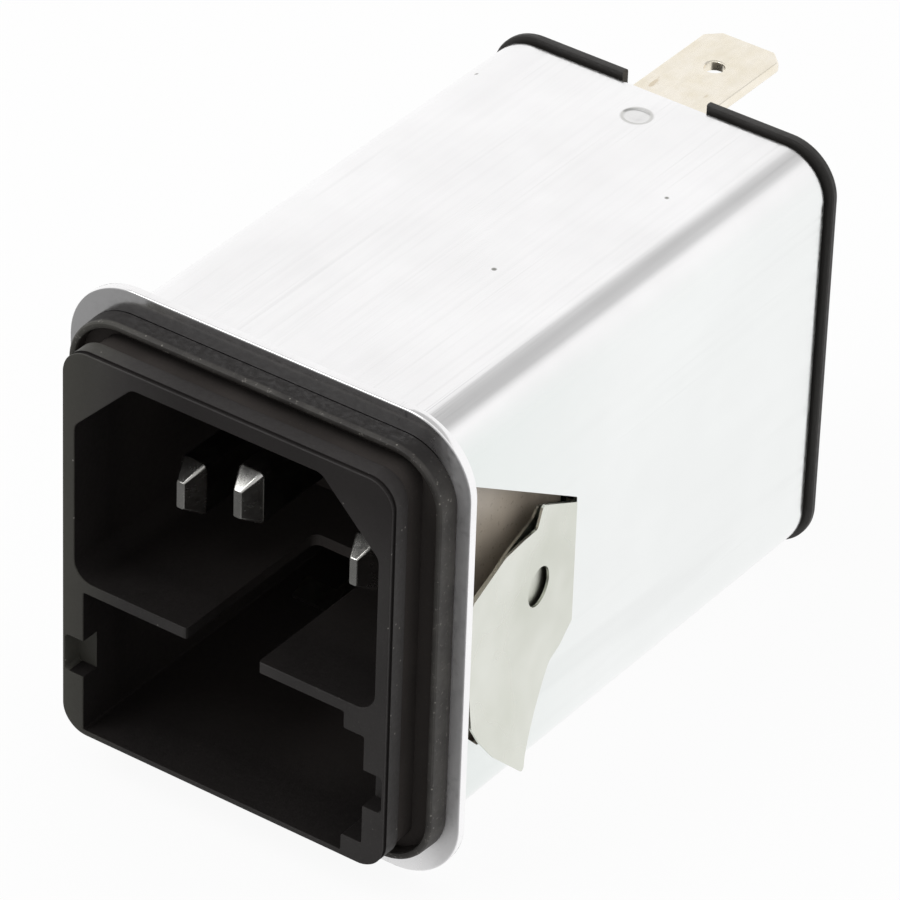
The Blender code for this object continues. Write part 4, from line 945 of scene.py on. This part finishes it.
def floor():
    """A plain pale floor, white to the camera but for a faint shadow. Metal sees it white behind
    the object's front and dim in front of it."""
    bpy.ops.mesh.primitive_plane_add(size=FLOOR_SIZE)
    made = bpy.context.object
    made.name = "floor"
    look, tree, shader = principled("floor")
    shader.inputs["Base Color"].default_value = (0.93, 0.93, 0.93, 1)
    shader.inputs["Roughness"].default_value = 0.9
    path = add(tree, "ShaderNodeLightPath")
    spot = axes(tree)
    behind = spread(tree, spot["Y"], *FLOOR_BEHIND)
    left = spread(tree, spot["X"], *FLOOR_LEFT)
    close = spread(tree, spot["Y"], *FLOOR_CLOSE)
    level = sums(tree, behind, sums(tree, left, close, "MAXIMUM"), "MAXIMUM")
    seen = sums(tree, path.outputs["Is Camera Ray"], path.outputs["Is Transmission Ray"],
                "MAXIMUM")
    glow = add(tree, "ShaderNodeEmission")
    tree.links.new(sums(tree, seen, level, "MAXIMUM"), glow.inputs["Strength"])
    share = sums(tree, sums(tree, seen, path.outputs["Is Glossy Ray"], "MAXIMUM"), WHITE_SHARE,
                 "MULTIPLY")
    blend = add(tree, "ShaderNodeMixShader")
    tree.links.new(share, blend.inputs[0])
    tree.links.new(shader.outputs["BSDF"], blend.inputs[1])
    tree.links.new(glow.outputs["Emission"], blend.inputs[2])
    tree.links.new(blend.outputs["Shader"], tree.nodes["Material Output"].inputs["Surface"])
    made.data.materials.append(look)


def surround():
    """White studio surround, dimmer high at the rear and dimmer in front."""
    world = bpy.data.worlds.new("studio")
    bpy.context.scene.world = world
    world.use_nodes = True
    tree = world.node_tree
    light = tree.nodes["Background"]
    light.inputs["Color"].default_value = (1, 1, 1, 1)
    way = axes(tree, "Generated")
    high = spread(tree, way["Z"], *SKY_HIGH)
    rear = spread(tree, way["Y"], *SKY_REAR)
    front = spread(tree, way["Y"], *SKY_FRONT)
    dim = sums(tree, sums(tree, high, rear, "MULTIPLY"), front)
    level = sums(tree, SKY_LEVEL, dim, "SUBTRACT")
    path = add(tree, "ShaderNodeLightPath")
    tree.links.new(sums(tree, level, path.outputs["Is Camera Ray"], "MAXIMUM"),
                   light.inputs["Strength"])


def soft_light(name, where, target, size, power):
    """A round lamp, turned to its target."""
    lamp = bpy.data.lights.new(name, "AREA")
    lamp.shape = "DISK"
    lamp.size = size
    lamp.energy = power
    made = bpy.data.objects.new(name, lamp)
    made.location = where
    aim = Vector(target) - Vector(where)
    made.rotation_euler = aim.to_track_quat("-Z", "Y").to_euler()
    bpy.context.scene.collection.objects.link(made)


def camera():
    """A long lens from the photograph's direction, rolled by a small angle."""
    azimuth, elevation = math.radians(CAMERA_AZIMUTH), math.radians(CAMERA_ELEVATION)
    ahead = Vector((-math.sin(azimuth) * math.cos(elevation),
                    math.cos(azimuth) * math.cos(elevation),
                    -math.sin(elevation)))
    level = ahead.to_track_quat("-Z", "Y").to_matrix().to_4x4()
    lens = bpy.data.cameras.new("camera")
    lens.lens = CAMERA_LENS
    lens.sensor_width = SENSOR
    lens.clip_end = 10
    made = bpy.data.objects.new("camera", lens)
    roll = Matrix.Rotation(math.radians(CAMERA_ROLL), 4, "Z")
    made.matrix_world = Matrix.Translation(CAMERA_PLACE) @ level @ roll
    bpy.context.scene.collection.objects.link(made)
    bpy.context.scene.camera = made


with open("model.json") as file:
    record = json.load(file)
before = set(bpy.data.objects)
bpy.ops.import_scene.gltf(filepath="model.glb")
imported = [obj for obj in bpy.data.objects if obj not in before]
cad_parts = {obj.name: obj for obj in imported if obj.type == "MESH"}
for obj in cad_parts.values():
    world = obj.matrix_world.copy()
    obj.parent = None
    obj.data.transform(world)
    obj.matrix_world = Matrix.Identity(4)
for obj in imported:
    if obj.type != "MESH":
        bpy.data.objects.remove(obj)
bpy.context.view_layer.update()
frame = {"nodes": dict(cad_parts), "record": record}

looks = finishes()
dress_nodes(frame, looks)
housing(looks)
pins(looks)
can(looks)
cover(looks)
blade("earth_tab", EARTH_BLADE[0], EARTH_BLADE[1], EARTH_BLADE[2],
      BLADE_TOP - BLADE_THICKNESS / 2, False, looks)
for side, name in ((-1, "line_tab"), (1, "neutral_tab")):
    blade(name, *LIVE_BLADE, side * LIVE_BLADE_PLACE, True, looks)
ears(looks)
floor()
surround()
soft_light("key", LIGHT_PLACE, LIGHT_TARGET, LIGHT_SIZE, LIGHT_POWER)
camera()
bpy.context.scene.view_settings.view_transform = "Standard"
